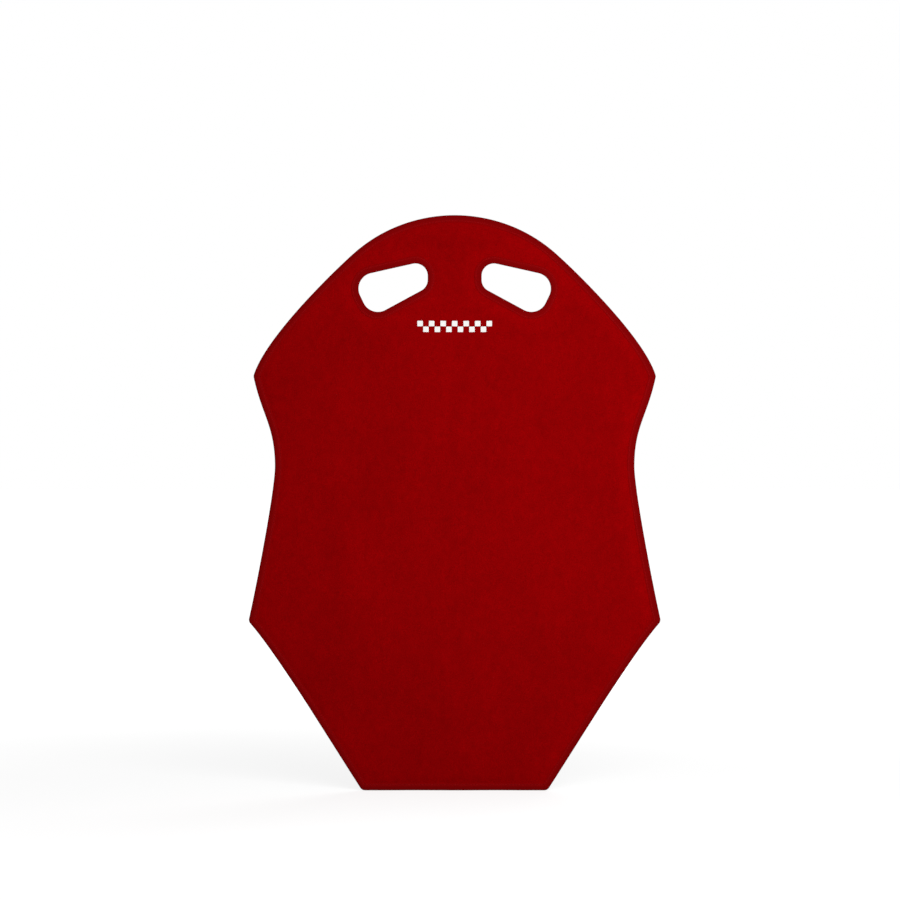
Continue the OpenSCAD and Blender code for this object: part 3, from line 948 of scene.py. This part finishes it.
def loop_finish(shade):
    """Napped nylon loop tape, with a little gloss on its filaments. Its colour is painted dark at the ground
    and paler at the loop tips: painted shade between the loops and a painted highlight on them.
    """
    material, tree, at = surface(
        "Napped nylon loop", shade, 0.6, 0.4, sheen_weight=0.45, sheen_roughness=0.35,
    )
    # Painted shade and highlight: the colour darkens from the loop tips down to the ground between them.
    place = add(tree, "ShaderNodeSeparateXYZ", [at]).outputs["Y"]
    height = add(tree, "ShaderNodeMapRange", [place, -LOOP_DEPTHS[0] - PILE_HEIGHT, -LOOP_DEPTHS[0]])
    fuzz = clumps(tree, at, 0.4 * MM)
    return patterned(material, [(height, 0.35, 2.0), (fuzz, 0.6, 1.4)], [(fuzz, 1)], 0.3 * MM)


def hook_finish(shade):
    """Moulded nylon: a satin gloss, with flow marks from the mould."""
    material, tree, at = surface("Moulded nylon", shade, 0.42, 0.45)
    flow = clumps(tree, at, 0.006, detail=3.0, stretch=(1, 1, 3), distortion=0.6)
    return patterned(material, [(flow, 0.8, 1.25)], [(flow, 1)], 0.03 * MM)


def adhesive_finish(shade):
    """Acrylic foam tape: off-white and slightly tacky-looking, with a fine pebbled skin and faint rolled
    streaks."""
    material, tree, at = surface("Acrylic foam tape", shade, 0.48, 0.4)
    pebble = clumps(tree, at, 1.4 * MM, detail=3.0)
    streaks = clumps(tree, at, 0.004, stretch=(1, 1, 6))
    return patterned(material, [
        (streaks, 0.93, 1.03), (pebble, 0.95, 1.04),
    ], [(pebble, 0.6), (streaks, 0.4)], 0.08 * MM)


def print_finish(shade):
    """Matt heat-transfer film: white, taking up a little of the pile under it."""
    material, tree, at = surface("Heat-transfer film", shade, 0.7, 0.15)
    pile = clumps(tree, at, 1.6 * MM, detail=3.0)
    worn = clumps(tree, at, 0.012)
    return patterned(material, [(pile, 0.93, 1.04), (worn, 0.97, 1.02)], [(pile, 1)], 0.07 * MM)


# ---- Pieces ----


def placed_object(name, data):
    """A new object in the scene that shows this data."""
    made = bpy.data.objects.new(name, data)
    bpy.context.scene.collection.objects.link(made)
    return made


def piece(name, mesh, material, node):
    """Puts a finished mesh in the scene: it stands for its CAD node and moves with that node's body."""
    made = placed_object(name, mesh)
    mesh.materials.clear()
    mesh.materials.append(material)
    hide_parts(node)
    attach(made, BODY_OF[node])
    return made


class Pad:
    """One pad's place on the seat shell, from its CAD adhesive: its middle, the directions across and along
    it, and its width and length."""

    def __init__(self, place):
        spots = coordinates(frame["nodes"][f"adhesive_{place}"].data)[:, [0, 2]].astype(float)
        self.place = place
        self.middle = (spots.min(axis=0) + spots.max(axis=0)) / 2
        _, ways = np.linalg.eigh(np.cov((spots - self.middle).T))
        along = ways[:, 1] * (1 if ways[1, 1] > 0 else -1)
        self.ways = np.stack([inward(along), along])
        self.size = np.ptp((spots - self.middle) @ self.ways.T, axis=0)

    def fitted(self, mesh):
        """A mesh that was made round the origin, long side up, moved to this place."""
        points = coordinates(mesh)
        points[:, [0, 2]] = self.middle + points[:, [0, 2]] @ self.ways
        return moved(mesh, points)


PADS = [Pad(place) for place in PLACES]


def patch_distance(scene, flat):
    """How far each point is from the nearest loop patch, and 0 on a patch."""
    margin = scene.protector_fastening.hook_margin
    past = [np.abs((flat - pad.middle) @ pad.ways.T) - pad.size / 2 - margin for pad in PADS]
    return np.min(np.linalg.norm(np.clip(past, 0, None), axis=2), axis=0)


def settled(scene, mesh):
    """Lets a layer of the cover stand off the plane of the pads as the simulated sheet does, by a smooth
    spline of the sheet's lifts."""
    sheet = bpy.data.meshes[SHEET]
    grid = coordinates(sheet)[:, [0, 2]]
    lifts = np.empty(len(grid), np.float32)
    sheet.attributes["lift"].data.foreach_get("value", lifts)
    lifts = lifts.reshape(-1, np.count_nonzero(grid[:, 1] == grid[0, 1]))
    points = coordinates(mesh)
    flat = points[:, [0, 2]].astype(float)
    at = (flat - grid[0]) / scene.protector_settling.spacing
    cell = np.floor(at).astype(int)
    t = at - cell
    shares = np.stack([
        (1 - t) ** 3, 3 * t ** 3 - 6 * t ** 2 + 4, -3 * t ** 3 + 3 * t ** 2 + 3 * t + 1, t ** 3,
    ]) / 6
    lift = sum(
        shares[i, :, 0] * shares[j, :, 1] * lifts[cell[:, 1] + j - 1, cell[:, 0] + i - 1]
        for i in range(4) for j in range(4)
    )
    parting = 14 * MM
    points[:, 1] -= lift * eased(patch_distance(scene, flat) / parting)
    return moved(mesh, points)


class SettleCover(bpy.types.Operator):
    """Simulates the cover as one sheet of cloth that its pads hold, which every layer then follows."""
    bl_idname = "protector.settle_cover"
    bl_label = "Settle the cover"

    def execute(self, context):
        scene = context.scene
        settling = scene.protector_settling
        spots, cells = self.grid(scene, settling.spacing)
        numbers = np.arange(len(spots)).reshape(cells.shape[0] + 1, -1)
        corners = [numbers[:-1, :-1], numbers[:-1, 1:], numbers[1:, 1:], numbers[1:, :-1]]
        faces = np.stack(corners, axis=-1)[cells]
        known = np.isin(numbers, faces)
        away = patch_distance(scene, spots)
        rise, reach, grip = 1.5 * MM, 80 * MM, 2 * MM
        start = rise * eased(away / reach) * (1 + 0.5 * wandering(spots, 0.10, 0.25, seed=3))
        mesh = bpy.data.meshes.new(SHEET)
        mesh.from_pydata(placed(spots, start).tolist(), [], faces.tolist())
        sheet = placed_object(SHEET, mesh)
        held = np.nonzero(~known.ravel() | (away < grip))[0]
        sheet.vertex_groups.new(name="Held").add(held.tolist(), 1.0, "REPLACE")
        lifts = -self.simulated(scene, sheet, settling)[:, 1]
        lifts = settling.most * np.tanh(lifts / (2 * settling.most))
        marked(mesh, "lift", "FLOAT", self.spread(lifts.reshape(numbers.shape), known))
        bpy.data.objects.remove(sheet)
        return {"FINISHED"}

    def grid(self, scene, step):
        """A square grid over the cover, and which of its cells lie on the cloth."""
        inset, spacing = 0.5 * MM, 4 * MM
        rings = [edge.ring(inset, spacing) for edge in edges(scene)]
        low, high = rings[0].min(axis=0), rings[0].max(axis=0)
        columns, rows = (
            np.arange(math.floor(low[k] / step) - 2, math.ceil(high[k] / step) + 3) * step for k in (0, 1)
        )
        spots = np.stack(np.meshgrid(columns, rows), axis=-1).reshape(-1, 2)
        kept = on_cover(spots, rings).reshape(len(rows), len(columns))
        return spots, kept[:-1, :-1] & kept[1:, :-1] & kept[:-1, 1:] & kept[1:, 1:]

    def simulated(self, scene, sheet, settling):
        """The sheet's points after the simulation, hanging and a little too long for the way between its
        pads."""
        modifier = sheet.modifiers.new("Cloth", "CLOTH")
        cloth = modifier.settings
        cloth.quality = 8
        cloth.mass = 0.1
        cloth.tension_stiffness = cloth.compression_stiffness = 150
        cloth.shear_stiffness = 75
        cloth.bending_stiffness = settling.stiffness
        cloth.bending_damping = cloth.air_damping = 2
        cloth.vertex_group_mass = "Held"
        cloth.shrink_min = cloth.shrink_max = -settling.spare
        cloth.effector_weights.gravity = 0.1
        modifier.collision_settings.use_collision = False
        modifier.point_cache.frame_start, modifier.point_cache.frame_end = 1, settling.steps
        for step in range(1, settling.steps + 1):
            scene.frame_set(step)
        graph = bpy.context.evaluated_depsgraph_get()
        points = coordinates(sheet.evaluated_get(graph).data)
        scene.frame_set(1)
        return points

    def spread(self, lifts, known):
        """Carries the lifts of the cloth three steps past its edges."""
        for _ in range(3):
            sums, counts = (
                sum(np.roll(rows, (i, j), (0, 1)) for i in (-1, 0, 1) for j in (-1, 0, 1))
                for rows in (np.where(known, lifts, 0), known.astype(int))
            )
            lifts = np.where(known, lifts, sums / np.maximum(counts, 1))
            known = known | (counts > 0)
        return lifts


class MakeFace(bpy.types.Operator):
    """Makes the velour face, crowned between its bindings."""
    bl_idname = "protector.make_face"
    bl_label = "Velour face"

    def execute(self, context):
        scene = context.scene

        def surfaces(*where):
            front = face_depth(scene, *where)
            return front - scene.protector_padding.face_thickness, front

        insets = (0.75, 4, 8, 9.6, 10.6, 12, 13.6, 15.6, 18, 20.6, 23.4)
        mesh = panel("velour_face", scene, insets, surfaces)
        material = velour_finish(scene.protector_colours.velour)
        piece("velour_face", mesh, material, "face_panel")
        return {"FINISHED"}


class MakeFoam(bpy.types.Operator):
    """Makes the foam core under the velour."""
    bl_idname = "protector.make_foam"
    bl_label = "Foam core"

    def execute(self, context):
        scene = context.scene
        gap_behind, gap_before = 0.02 * MM, 0.03 * MM

        def surfaces(*where):
            front = face_depth(scene, *where) - scene.protector_padding.face_thickness - gap_before
            return np.full(len(front), FOAM_DEPTHS[0] + gap_behind), front

        mesh = panel("foam_sheet", scene, (0.8, 5, 10, 12, 15, 19, 23.4), surfaces)
        material = foam_finish(scene.protector_colours.foam)
        piece("foam_sheet", mesh, material, "foam_core")
        return {"FINISHED"}


class MakeLining(bpy.types.Operator):
    """Makes the tricot lining, with slight ripples between the loop patches."""
    bl_idname = "protector.make_lining"
    bl_label = "Lining"

    def execute(self, context):
        scene = context.scene
        back, front = LINING_DEPTHS
        width, ripple = scene.protector_binding.tape_width, scene.protector_padding.ripple
        past_binding, past_patch = 14 * MM, 22 * MM

        def surfaces(flat, distance, place):
            free = eased((distance - width) / past_binding) * eased(patch_distance(scene, flat) / past_patch)
            waves = np.clip(wandering(flat, 0.035, 0.12, seed=17) + 0.35, 0, None)
            return back - ripple * free * waves, np.full(len(flat), front)

        mesh = panel("tricot_lining", scene, (0.75, 5, 9.6, 11, 14, 18, 23), surfaces)
        material = lining_finish(scene.protector_colours.lining)
        lining = piece("tricot_lining", mesh, material, "lining")
        # Its cut is the outline less the two slots, not the whole box.
        return {"FINISHED"}


class MakeBindings(bpy.types.Operator):
    """Makes the tape round the outline and round each slot."""
    bl_idname = "protector.make_bindings"
    bl_label = "Bindings"

    def execute(self, context):
        scene = context.scene
        material = tape_finish(scene.protector_colours.binding)
        for node, edge in zip(("outer_binding", "slot_binding_left", "slot_binding_right"), edges(scene)):
            name = f"grosgrain_{node}"
            mesh = settled(scene, self.folded(name, scene.protector_binding, edge))
            piece(name, mesh, material, node)
        return {"FINISHED"}

    def folded(self, name, binding, edge):
        """Tape folded over an edge: a swept section with a sewn groove, and a tuck at each point of the
        outline. Its UVs are lengths along the edge and across the tape, from its fold."""
        width, tape, seam = binding.tape_width, binding.tape_thickness, binding.seam_inset
        tuck_rise, tuck_length = 0.9 * MM, 8 * MM
        groove_reach, groove_depth = 1.2 * MM, 0.18 * MM
        tight, loosening, unevenness = 0.4 * MM, 1.5 * MM, 0.12 * MM
        back, front = BINDING_DEPTHS
        # Points of the section are (distance in from the edge, distance in from the tape's CAD face).
        outside = [
            (width, 0.55 * tape), (width - 0.15 * MM, 0.12 * tape), (seam + 0.9 * MM, 0.05 * MM),
            (seam + 0.45 * MM, 0.16 * MM), (seam, 0.30 * MM), (seam - 0.45 * MM, 0.16 * MM),
            (seam - 0.9 * MM, 0.02 * MM), (5.4 * MM, -0.05 * MM), (3.6 * MM, -0.04 * MM),
            (2.2 * MM, 0.04 * MM), (1.2 * MM, 0.22 * MM), (0.5 * MM, 0.62 * MM), (0.1 * MM, 1.2 * MM),
        ]
        inner = [(1.1 * MM, tape), (4 * MM, tape), (seam, tape + 0.1 * MM), (width - 0.1 * MM, tape)]
        section = [(s, back + d, -1) for s, d in outside] + [(0, (back + front) / 2, 0)]
        section += [(s, front - d, 1) for s, d in outside[::-1]]
        section += [(s, front - d, 0) for s, d in inner[::-1]] + [(s, back + d, 0) for s, d in inner]
        spacing = binding.stitch_pitch / 4
        base = edge.ring(0, spacing)
        reach = ring_lengths(base)
        sewn = ring_lengths(edge.ring(seam, spacing))
        stitches = round(sewn[-1] / binding.stitch_pitch)
        pull = 0.5 - 0.5 * np.cos(math.tau * stitches * sewn[:-1] / sewn[-1])
        slack = gathers(reach[:-1], (11, 17.3, 31), seed=23)
        tuck = np.zeros(len(base))
        if edge.corners[0].radius > 0:
            past = edge.corner_offsets(base)
            tuck = np.where(past > 0, np.clip(1 - past / tuck_length, 0, 1) * eased(past / tuck_rise), 0)
        rings = []
        for s, depth, face in section:
            groove = max(0, 1 - abs(s - seam) / groove_reach)
            loose = eased((s - tight) / loosening)
            lift = tuck * binding.fold * loose + slack * unevenness * loose * (1 - groove)
            rings.append(placed(edge.ring(s, spacing), depth + face * (lift - pull * groove * groove_depth)))
        size, count = len(base), len(section)
        widths = ring_lengths(np.array([(s, depth) for s, depth, _ in section]))
        widths -= widths[len(outside)]
        blocks = [band(k, (k + 1) % count, size) for k in range(count)]
        along = np.stack([reach[:-1], reach[1:], reach[1:], reach[:-1]], axis=-1)
        across = [np.broadcast_to(widths[[k, k, k + 1, k + 1]], along.shape) for k in range(count)]
        wraps = np.concatenate([np.stack([along, v], axis=-1) for v in across])
        return closed_mesh(name, np.concatenate(rings), blocks, wraps)


def sewn_mesh(name, scene, tree, material, paths, fineness=1.0):
    """Lockstitches along paths, their length this share of the length in the binding seams."""
    binding = scene.protector_binding
    return grown(
        name, tree, path_mesh(name, paths), material, pitch=fineness * binding.stitch_pitch,
        stitch_length=fineness * binding.stitch_length, thread_width=binding.thread_width,
    )


class MakeBindingSeams(bpy.types.Operator):
    """Makes the lockstitches that hold the bindings, on the front and on the back."""
    bl_idname = "protector.make_binding_seams"
    bl_label = "Binding seams"

    def execute(self, context):
        scene = context.scene
        binding = scene.protector_binding
        material = thread_finish("Red bonded thread", scene.protector_colours.seam_thread)
        tree = lockstitch_tree()
        back, front = BINDING_DEPTHS
        sunk = 0.15 * MM
        nodes = ("outer_binding_thread", "slot_binding_thread_left", "slot_binding_thread_right")
        for node, edge in zip(nodes, edges(scene)):
            name = f"stitched_{node}"
            ring = edge.ring(binding.seam_inset, binding.stitch_pitch / 4)
            paths = [(placed(ring, front - sunk), (0, -1, 0)), (placed(ring, back + sunk), (0, 1, 0))]
            mesh = settled(scene, sewn_mesh(name, scene, tree, material, paths))
            piece(name, mesh, material, node)
        return {"FINISHED"}


class MakePrint(bpy.types.Operator):
    """Makes the chequered strip of transfer film on the velour."""
    bl_idname = "protector.make_print"
    bl_label = "Printed strip"

    def execute(self, context):
        scene = context.scene
        strip = scene.protector_print
        low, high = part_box("transfer_print")
        spots = (strip.square + strip.gap) * np.array([
            (column - (strip.columns - 1) / 2, (strip.rows - 1) / 2 - row)
            for column in range(strip.columns) for row in range(strip.rows) if (column + row) % 2 == 0
        ]) + [(low.x + high.x) / 2, (low.z + high.z) / 2]
        near = Nearness(edges(scene))
        step = strip.square / 3

        def level(x, z):
            beside = spots + [x, z]
            return face_depth(scene, beside, *near.of(beside))

        across, up = ((level(*way) - level(*-way)) / (2 * step) for way in step * np.eye(2))
        facing = unit(np.stack([-across, -np.ones(len(spots)), -up], axis=-1))
        sunk = 0.06 * MM
        points = placed(spots, level(0, 0) - sunk)
        material = print_finish(scene.protector_colours.print_film)
        made = grown(
            "printed_squares", square_tree(), path_mesh("squares", [(points, facing)]), material,
            side=strip.square, corner=strip.corner, film=PRINT_DEPTHS[1] - PRINT_DEPTHS[0],
        )
        piece("printed_squares", settled(scene, made), material, "transfer_print")
        return {"FINISHED"}


class MakeLoopPatches(bpy.types.Operator):
    """Makes the loop patches on the lining."""
    bl_idname = "protector.make_loop_patches"
    bl_label = "Loop patches"

    def execute(self, context):
        scene = context.scene
        sizes = scene.protector_fastening
        material = loop_finish(scene.protector_colours.loop_tape)
        tree = loop_tree()
        tips, lining = LOOP_DEPTHS
        ground, seam = tips + PILE_HEIGHT, sizes.patch_seam
        pulled = ground + 0.25 * MM
        levels = [
            (0.25 * MM, lining), (0, lining - 0.2 * MM), (0, ground + 0.35 * MM),
            (0.3 * MM, ground + 0.05 * MM), (0.7 * MM, ground), (seam - 0.8 * MM, ground),
            (seam - 0.2 * MM, pulled), (seam + 0.2 * MM, pulled), (seam + 0.8 * MM, ground),
            (seam + 2.2 * MM, ground),
        ]
        least = 0.6 * MM
        for number, pad in enumerate(PADS):
            name = f"looped_patch_{pad.place}"
            size = pad.size + 2 * sizes.hook_margin
            mesh = plate(name, size, levels, lambda s: max(sizes.patch_radius - s, least))
            marks = [abs(polygon.center.y + ground) < 0.01 * MM for polygon in mesh.polygons]
            made = grown(
                name, tree, marked(mesh, "pile", "BOOLEAN", marks, "FACE"), material, seed=number + 1,
                spacing=sizes.loop_spacing, height=PILE_HEIGHT, loop_thickness=sizes.loop_thickness,
            )
            piece(name, pad.fitted(made), material, f"loop_patch_{pad.place}")
        return {"FINISHED"}


class MakePatchSeams(bpy.types.Operator):
    """Makes the seam that holds each loop patch, a little finer than the binding seams."""
    bl_idname = "protector.make_patch_seams"
    bl_label = "Patch seams"

    def execute(self, context):
        scene = context.scene
        sizes = scene.protector_fastening
        material = thread_finish("Black bonded thread", scene.protector_colours.patch_thread)
        tree = lockstitch_tree()
        corner, sunk = 1.2 * MM, 0.12 * MM
        for pad in PADS:
            name = f"stitched_patch_thread_{pad.place}"
            size = pad.size + 2 * (sizes.hook_margin - sizes.patch_seam)
            ring = placed(rounded_rectangle(*size, corner), LOOP_DEPTHS[0] + sunk)
            made = sewn_mesh(name, scene, tree, material, [(ring, (0, 1, 0))], fineness=0.85)
            piece(name, pad.fitted(made), material, f"patch_thread_{pad.place}")
        return {"FINISHED"}


class MakeHookPads(bpy.types.Operator):
    """Makes the hook pads on the seat shell."""
    bl_idname = "protector.make_hook_pads"
    bl_label = "Hook pads"

    def execute(self, context):
        sizes = context.scene.protector_fastening
        material = hook_finish(context.scene.protector_colours.hook_tape)
        tree = hook_tree()
        back, tips = HOOK_DEPTHS
        root = back + 1.0 * MM
        corner, under, over = 1.0 * MM, 0.12 * MM, 0.25 * MM
        levels = [(under, back), (0, back + under), (0, root - over), (over, root)]
        bare = np.array([1.0, 1.3]) * MM
        for pad in PADS:
            name = f"moulded_hook_pad_{pad.place}"
            mesh = plate(name, pad.size, levels, lambda s: corner - s / 2, steps=4)
            wide, long = pad.size - 2 * bare
            made = grown(
                name, tree, mesh, material, width=wide, height=long, root=root, tip=tips,
                row_pitch=sizes.row_pitch, hook_pitch=sizes.hook_pitch, hook_thickness=sizes.hook_thickness,
            )
            piece(name, pad.fitted(made), material, f"hook_pad_{pad.place}")
        return {"FINISHED"}


class MakeAdhesive(bpy.types.Operator):
    """Makes the adhesive tape under each hook pad."""
    bl_idname = "protector.make_adhesive"
    bl_label = "Adhesive"

    def execute(self, context):
        material = adhesive_finish(context.scene.protector_colours.adhesive)
        back, front = ADHESIVE_DEPTHS
        middle = (back + front) / 2
        corner, under, over = 1.1 * MM, 0.08 * MM, 0.12 * MM
        levels = [(0.3 * MM, back), (under, back + under), (0, middle), (over, front)]
        for pad in PADS:
            name = f"acrylic_adhesive_{pad.place}"
            mesh = plate(name, pad.size, levels, lambda s: corner - s / 2, steps=4)
            piece(name, pad.fitted(mesh), material, f"adhesive_{pad.place}")
        return {"FINISHED"}


class MakeStage(bpy.types.Operator):
    """Makes the pale floor, the soft light and the camera."""
    bl_idname = "protector.make_stage"
    bl_label = "Stage"

    def execute(self, context):
        scene = context.scene
        stage = scene.protector_stage
        scene.view_settings.view_transform = "Standard"
        self.light(scene, stage)
        self.floor()
        self.camera(scene, stage)
        return {"FINISHED"}

    def light(self, scene, stage):
        scene.world = bpy.data.worlds.new("White surround")
        scene.world.use_nodes = True
        tree = scene.world.node_tree
        tree.nodes.clear()
        strength = add(tree, "ShaderNodeMapRange", {
            "Value": self.seen(tree), "To Min": stage.surround, "To Max": 1.0,
        })
        glow = add(tree, "ShaderNodeBackground", [(1, 1, 1, 1), strength])
        add(tree, "ShaderNodeOutputWorld", {"Surface": glow})
        target = Vector((0, 0, -0.28))
        for name, place, size, power in (
            ("Key", (0.31, -1.1, -0.03), 1.0, stage.key_power),
            ("Back", (0.9, 2.2, 0.7), 1.8, stage.key_power * 2.4),
        ):
            lamp = bpy.data.lights.new(name, "AREA")
            lamp.shape, lamp.size, lamp.energy = "DISK", size, power
            holder = placed_object(name, lamp)
            holder.location = place
            aim = target - Vector(place)
            holder.rotation_euler = aim.to_track_quat("-Z", "Y").to_euler()
            holder.visible_camera = False

    def seen(self, tree):
        """1 for what the camera sees, straight on, in a mirror or through glass."""
        path = add(tree, "ShaderNodeLightPath").outputs
        share = 0.0
        for ray in ("Is Camera Ray", "Is Glossy Ray", "Is Transmission Ray"):
            share = add(tree, "ShaderNodeMath", [share, path[ray]], operation="MAXIMUM")
        return share

    def floor(self):
        """A matt white floor that the camera sees white, with the cover's soft shadow on it."""
        reach, level = 30.0, CAD_LOW.z - 0.2 * MM
        mesh = bpy.data.meshes.new("studio_floor")
        corners = [(x * reach, y * reach, level) for x, y in ((-1, -1), (1, -1), (1, 1), (-1, 1))]
        mesh.from_pydata(corners, [], [(0, 1, 2, 3)])
        placed_object("studio_floor", mesh)
        material = bpy.data.materials.new("Matt white floor")
        material.use_nodes = True
        tree = material.node_tree
        tree.nodes.clear()
        matt = add(tree, "ShaderNodeBsdfDiffuse", {"Color": (0.3, 0.3, 0.3, 1)})
        place = add(tree, "ShaderNodeTexCoord").outputs["Object"]
        away = add(tree, "ShaderNodeVectorMath", [place, (0, 0, level)], operation="DISTANCE")
        # The lamps light the floor near the cover too, so its own glow is less there.
        even = add(tree, "ShaderNodeMapRange", [away, 0.3, 2.2, 0.78, 1.0], interpolation_type="SMOOTHSTEP")
        strength = add(tree, "ShaderNodeMath", [self.seen(tree), even], operation="MULTIPLY")
        glow = add(tree, "ShaderNodeEmission", {"Strength": strength})
        both = add(tree, "ShaderNodeAddShader", [matt, glow])
        add(tree, "ShaderNodeOutputMaterial", {"Surface": both})
        mesh.materials.append(material)

    def camera(self, scene, stage):
        camera = bpy.data.cameras.new("Camera")
        camera.sensor_width = 36
        camera.lens = camera.sensor_width * stage.distance / stage.frame_width
        scene.camera = placed_object("Camera", camera)
        scene.camera.location = (stage.aim_x, -stage.distance - sum(BINDING_DEPTHS) / 2, stage.aim_z)
        scene.camera.rotation_euler = (math.pi / 2, 0, 0)


# ---- The add-on ----

SETTINGS = {
    "protector_outline": OutlineSettings,
    "protector_slots": SlotSettings,
    "protector_padding": PaddingSettings,
    "protector_settling": SettlingSettings,
    "protector_binding": BindingSettings,
    "protector_fastening": FasteningSettings,
    "protector_print": PrintSettings,
    "protector_colours": ColourSettings,
    "protector_stage": StageSettings,
}
STEPS = (
    MakeStage, SettleCover, MakeFace, MakeFoam, MakeLining, MakeBindings, MakeBindingSeams, MakePrint,
    MakeLoopPatches, MakePatchSeams, MakeHookPads, MakeAdhesive,
)


class ProtectorPanel(bpy.types.Panel):
    """Lists the pieces and their settings."""
    bl_idname = "VIEW3D_PT_protector"
    bl_label = "Seat back protector"
    bl_space_type = "VIEW_3D"
    bl_region_type = "UI"
    bl_category = "Protector"

    def draw(self, context):
        for step in STEPS:
            self.layout.operator(step.bl_idname)
        for name, group in SETTINGS.items():
            box = self.layout.box()
            box.label(text=name.replace("protector_", "").capitalize())
            for label in group.__annotations__:
                box.prop(getattr(context.scene, name), label)


def register():
    for made in (*SETTINGS.values(), *STEPS, ProtectorPanel):
        bpy.utils.register_class(made)
    for name, group in SETTINGS.items():
        setattr(bpy.types.Scene, name, bpy.props.PointerProperty(type=group))


def unregister():
    for name in SETTINGS:
        delattr(bpy.types.Scene, name)
    for made in (ProtectorPanel, *reversed(STEPS), *reversed(SETTINGS.values())):
        bpy.utils.unregister_class(made)


def main():
    register()
    for step in STEPS:
        group, name = step.bl_idname.split(".")
        getattr(getattr(bpy.ops, group), name)()


if __name__ == "__main__":
    main()
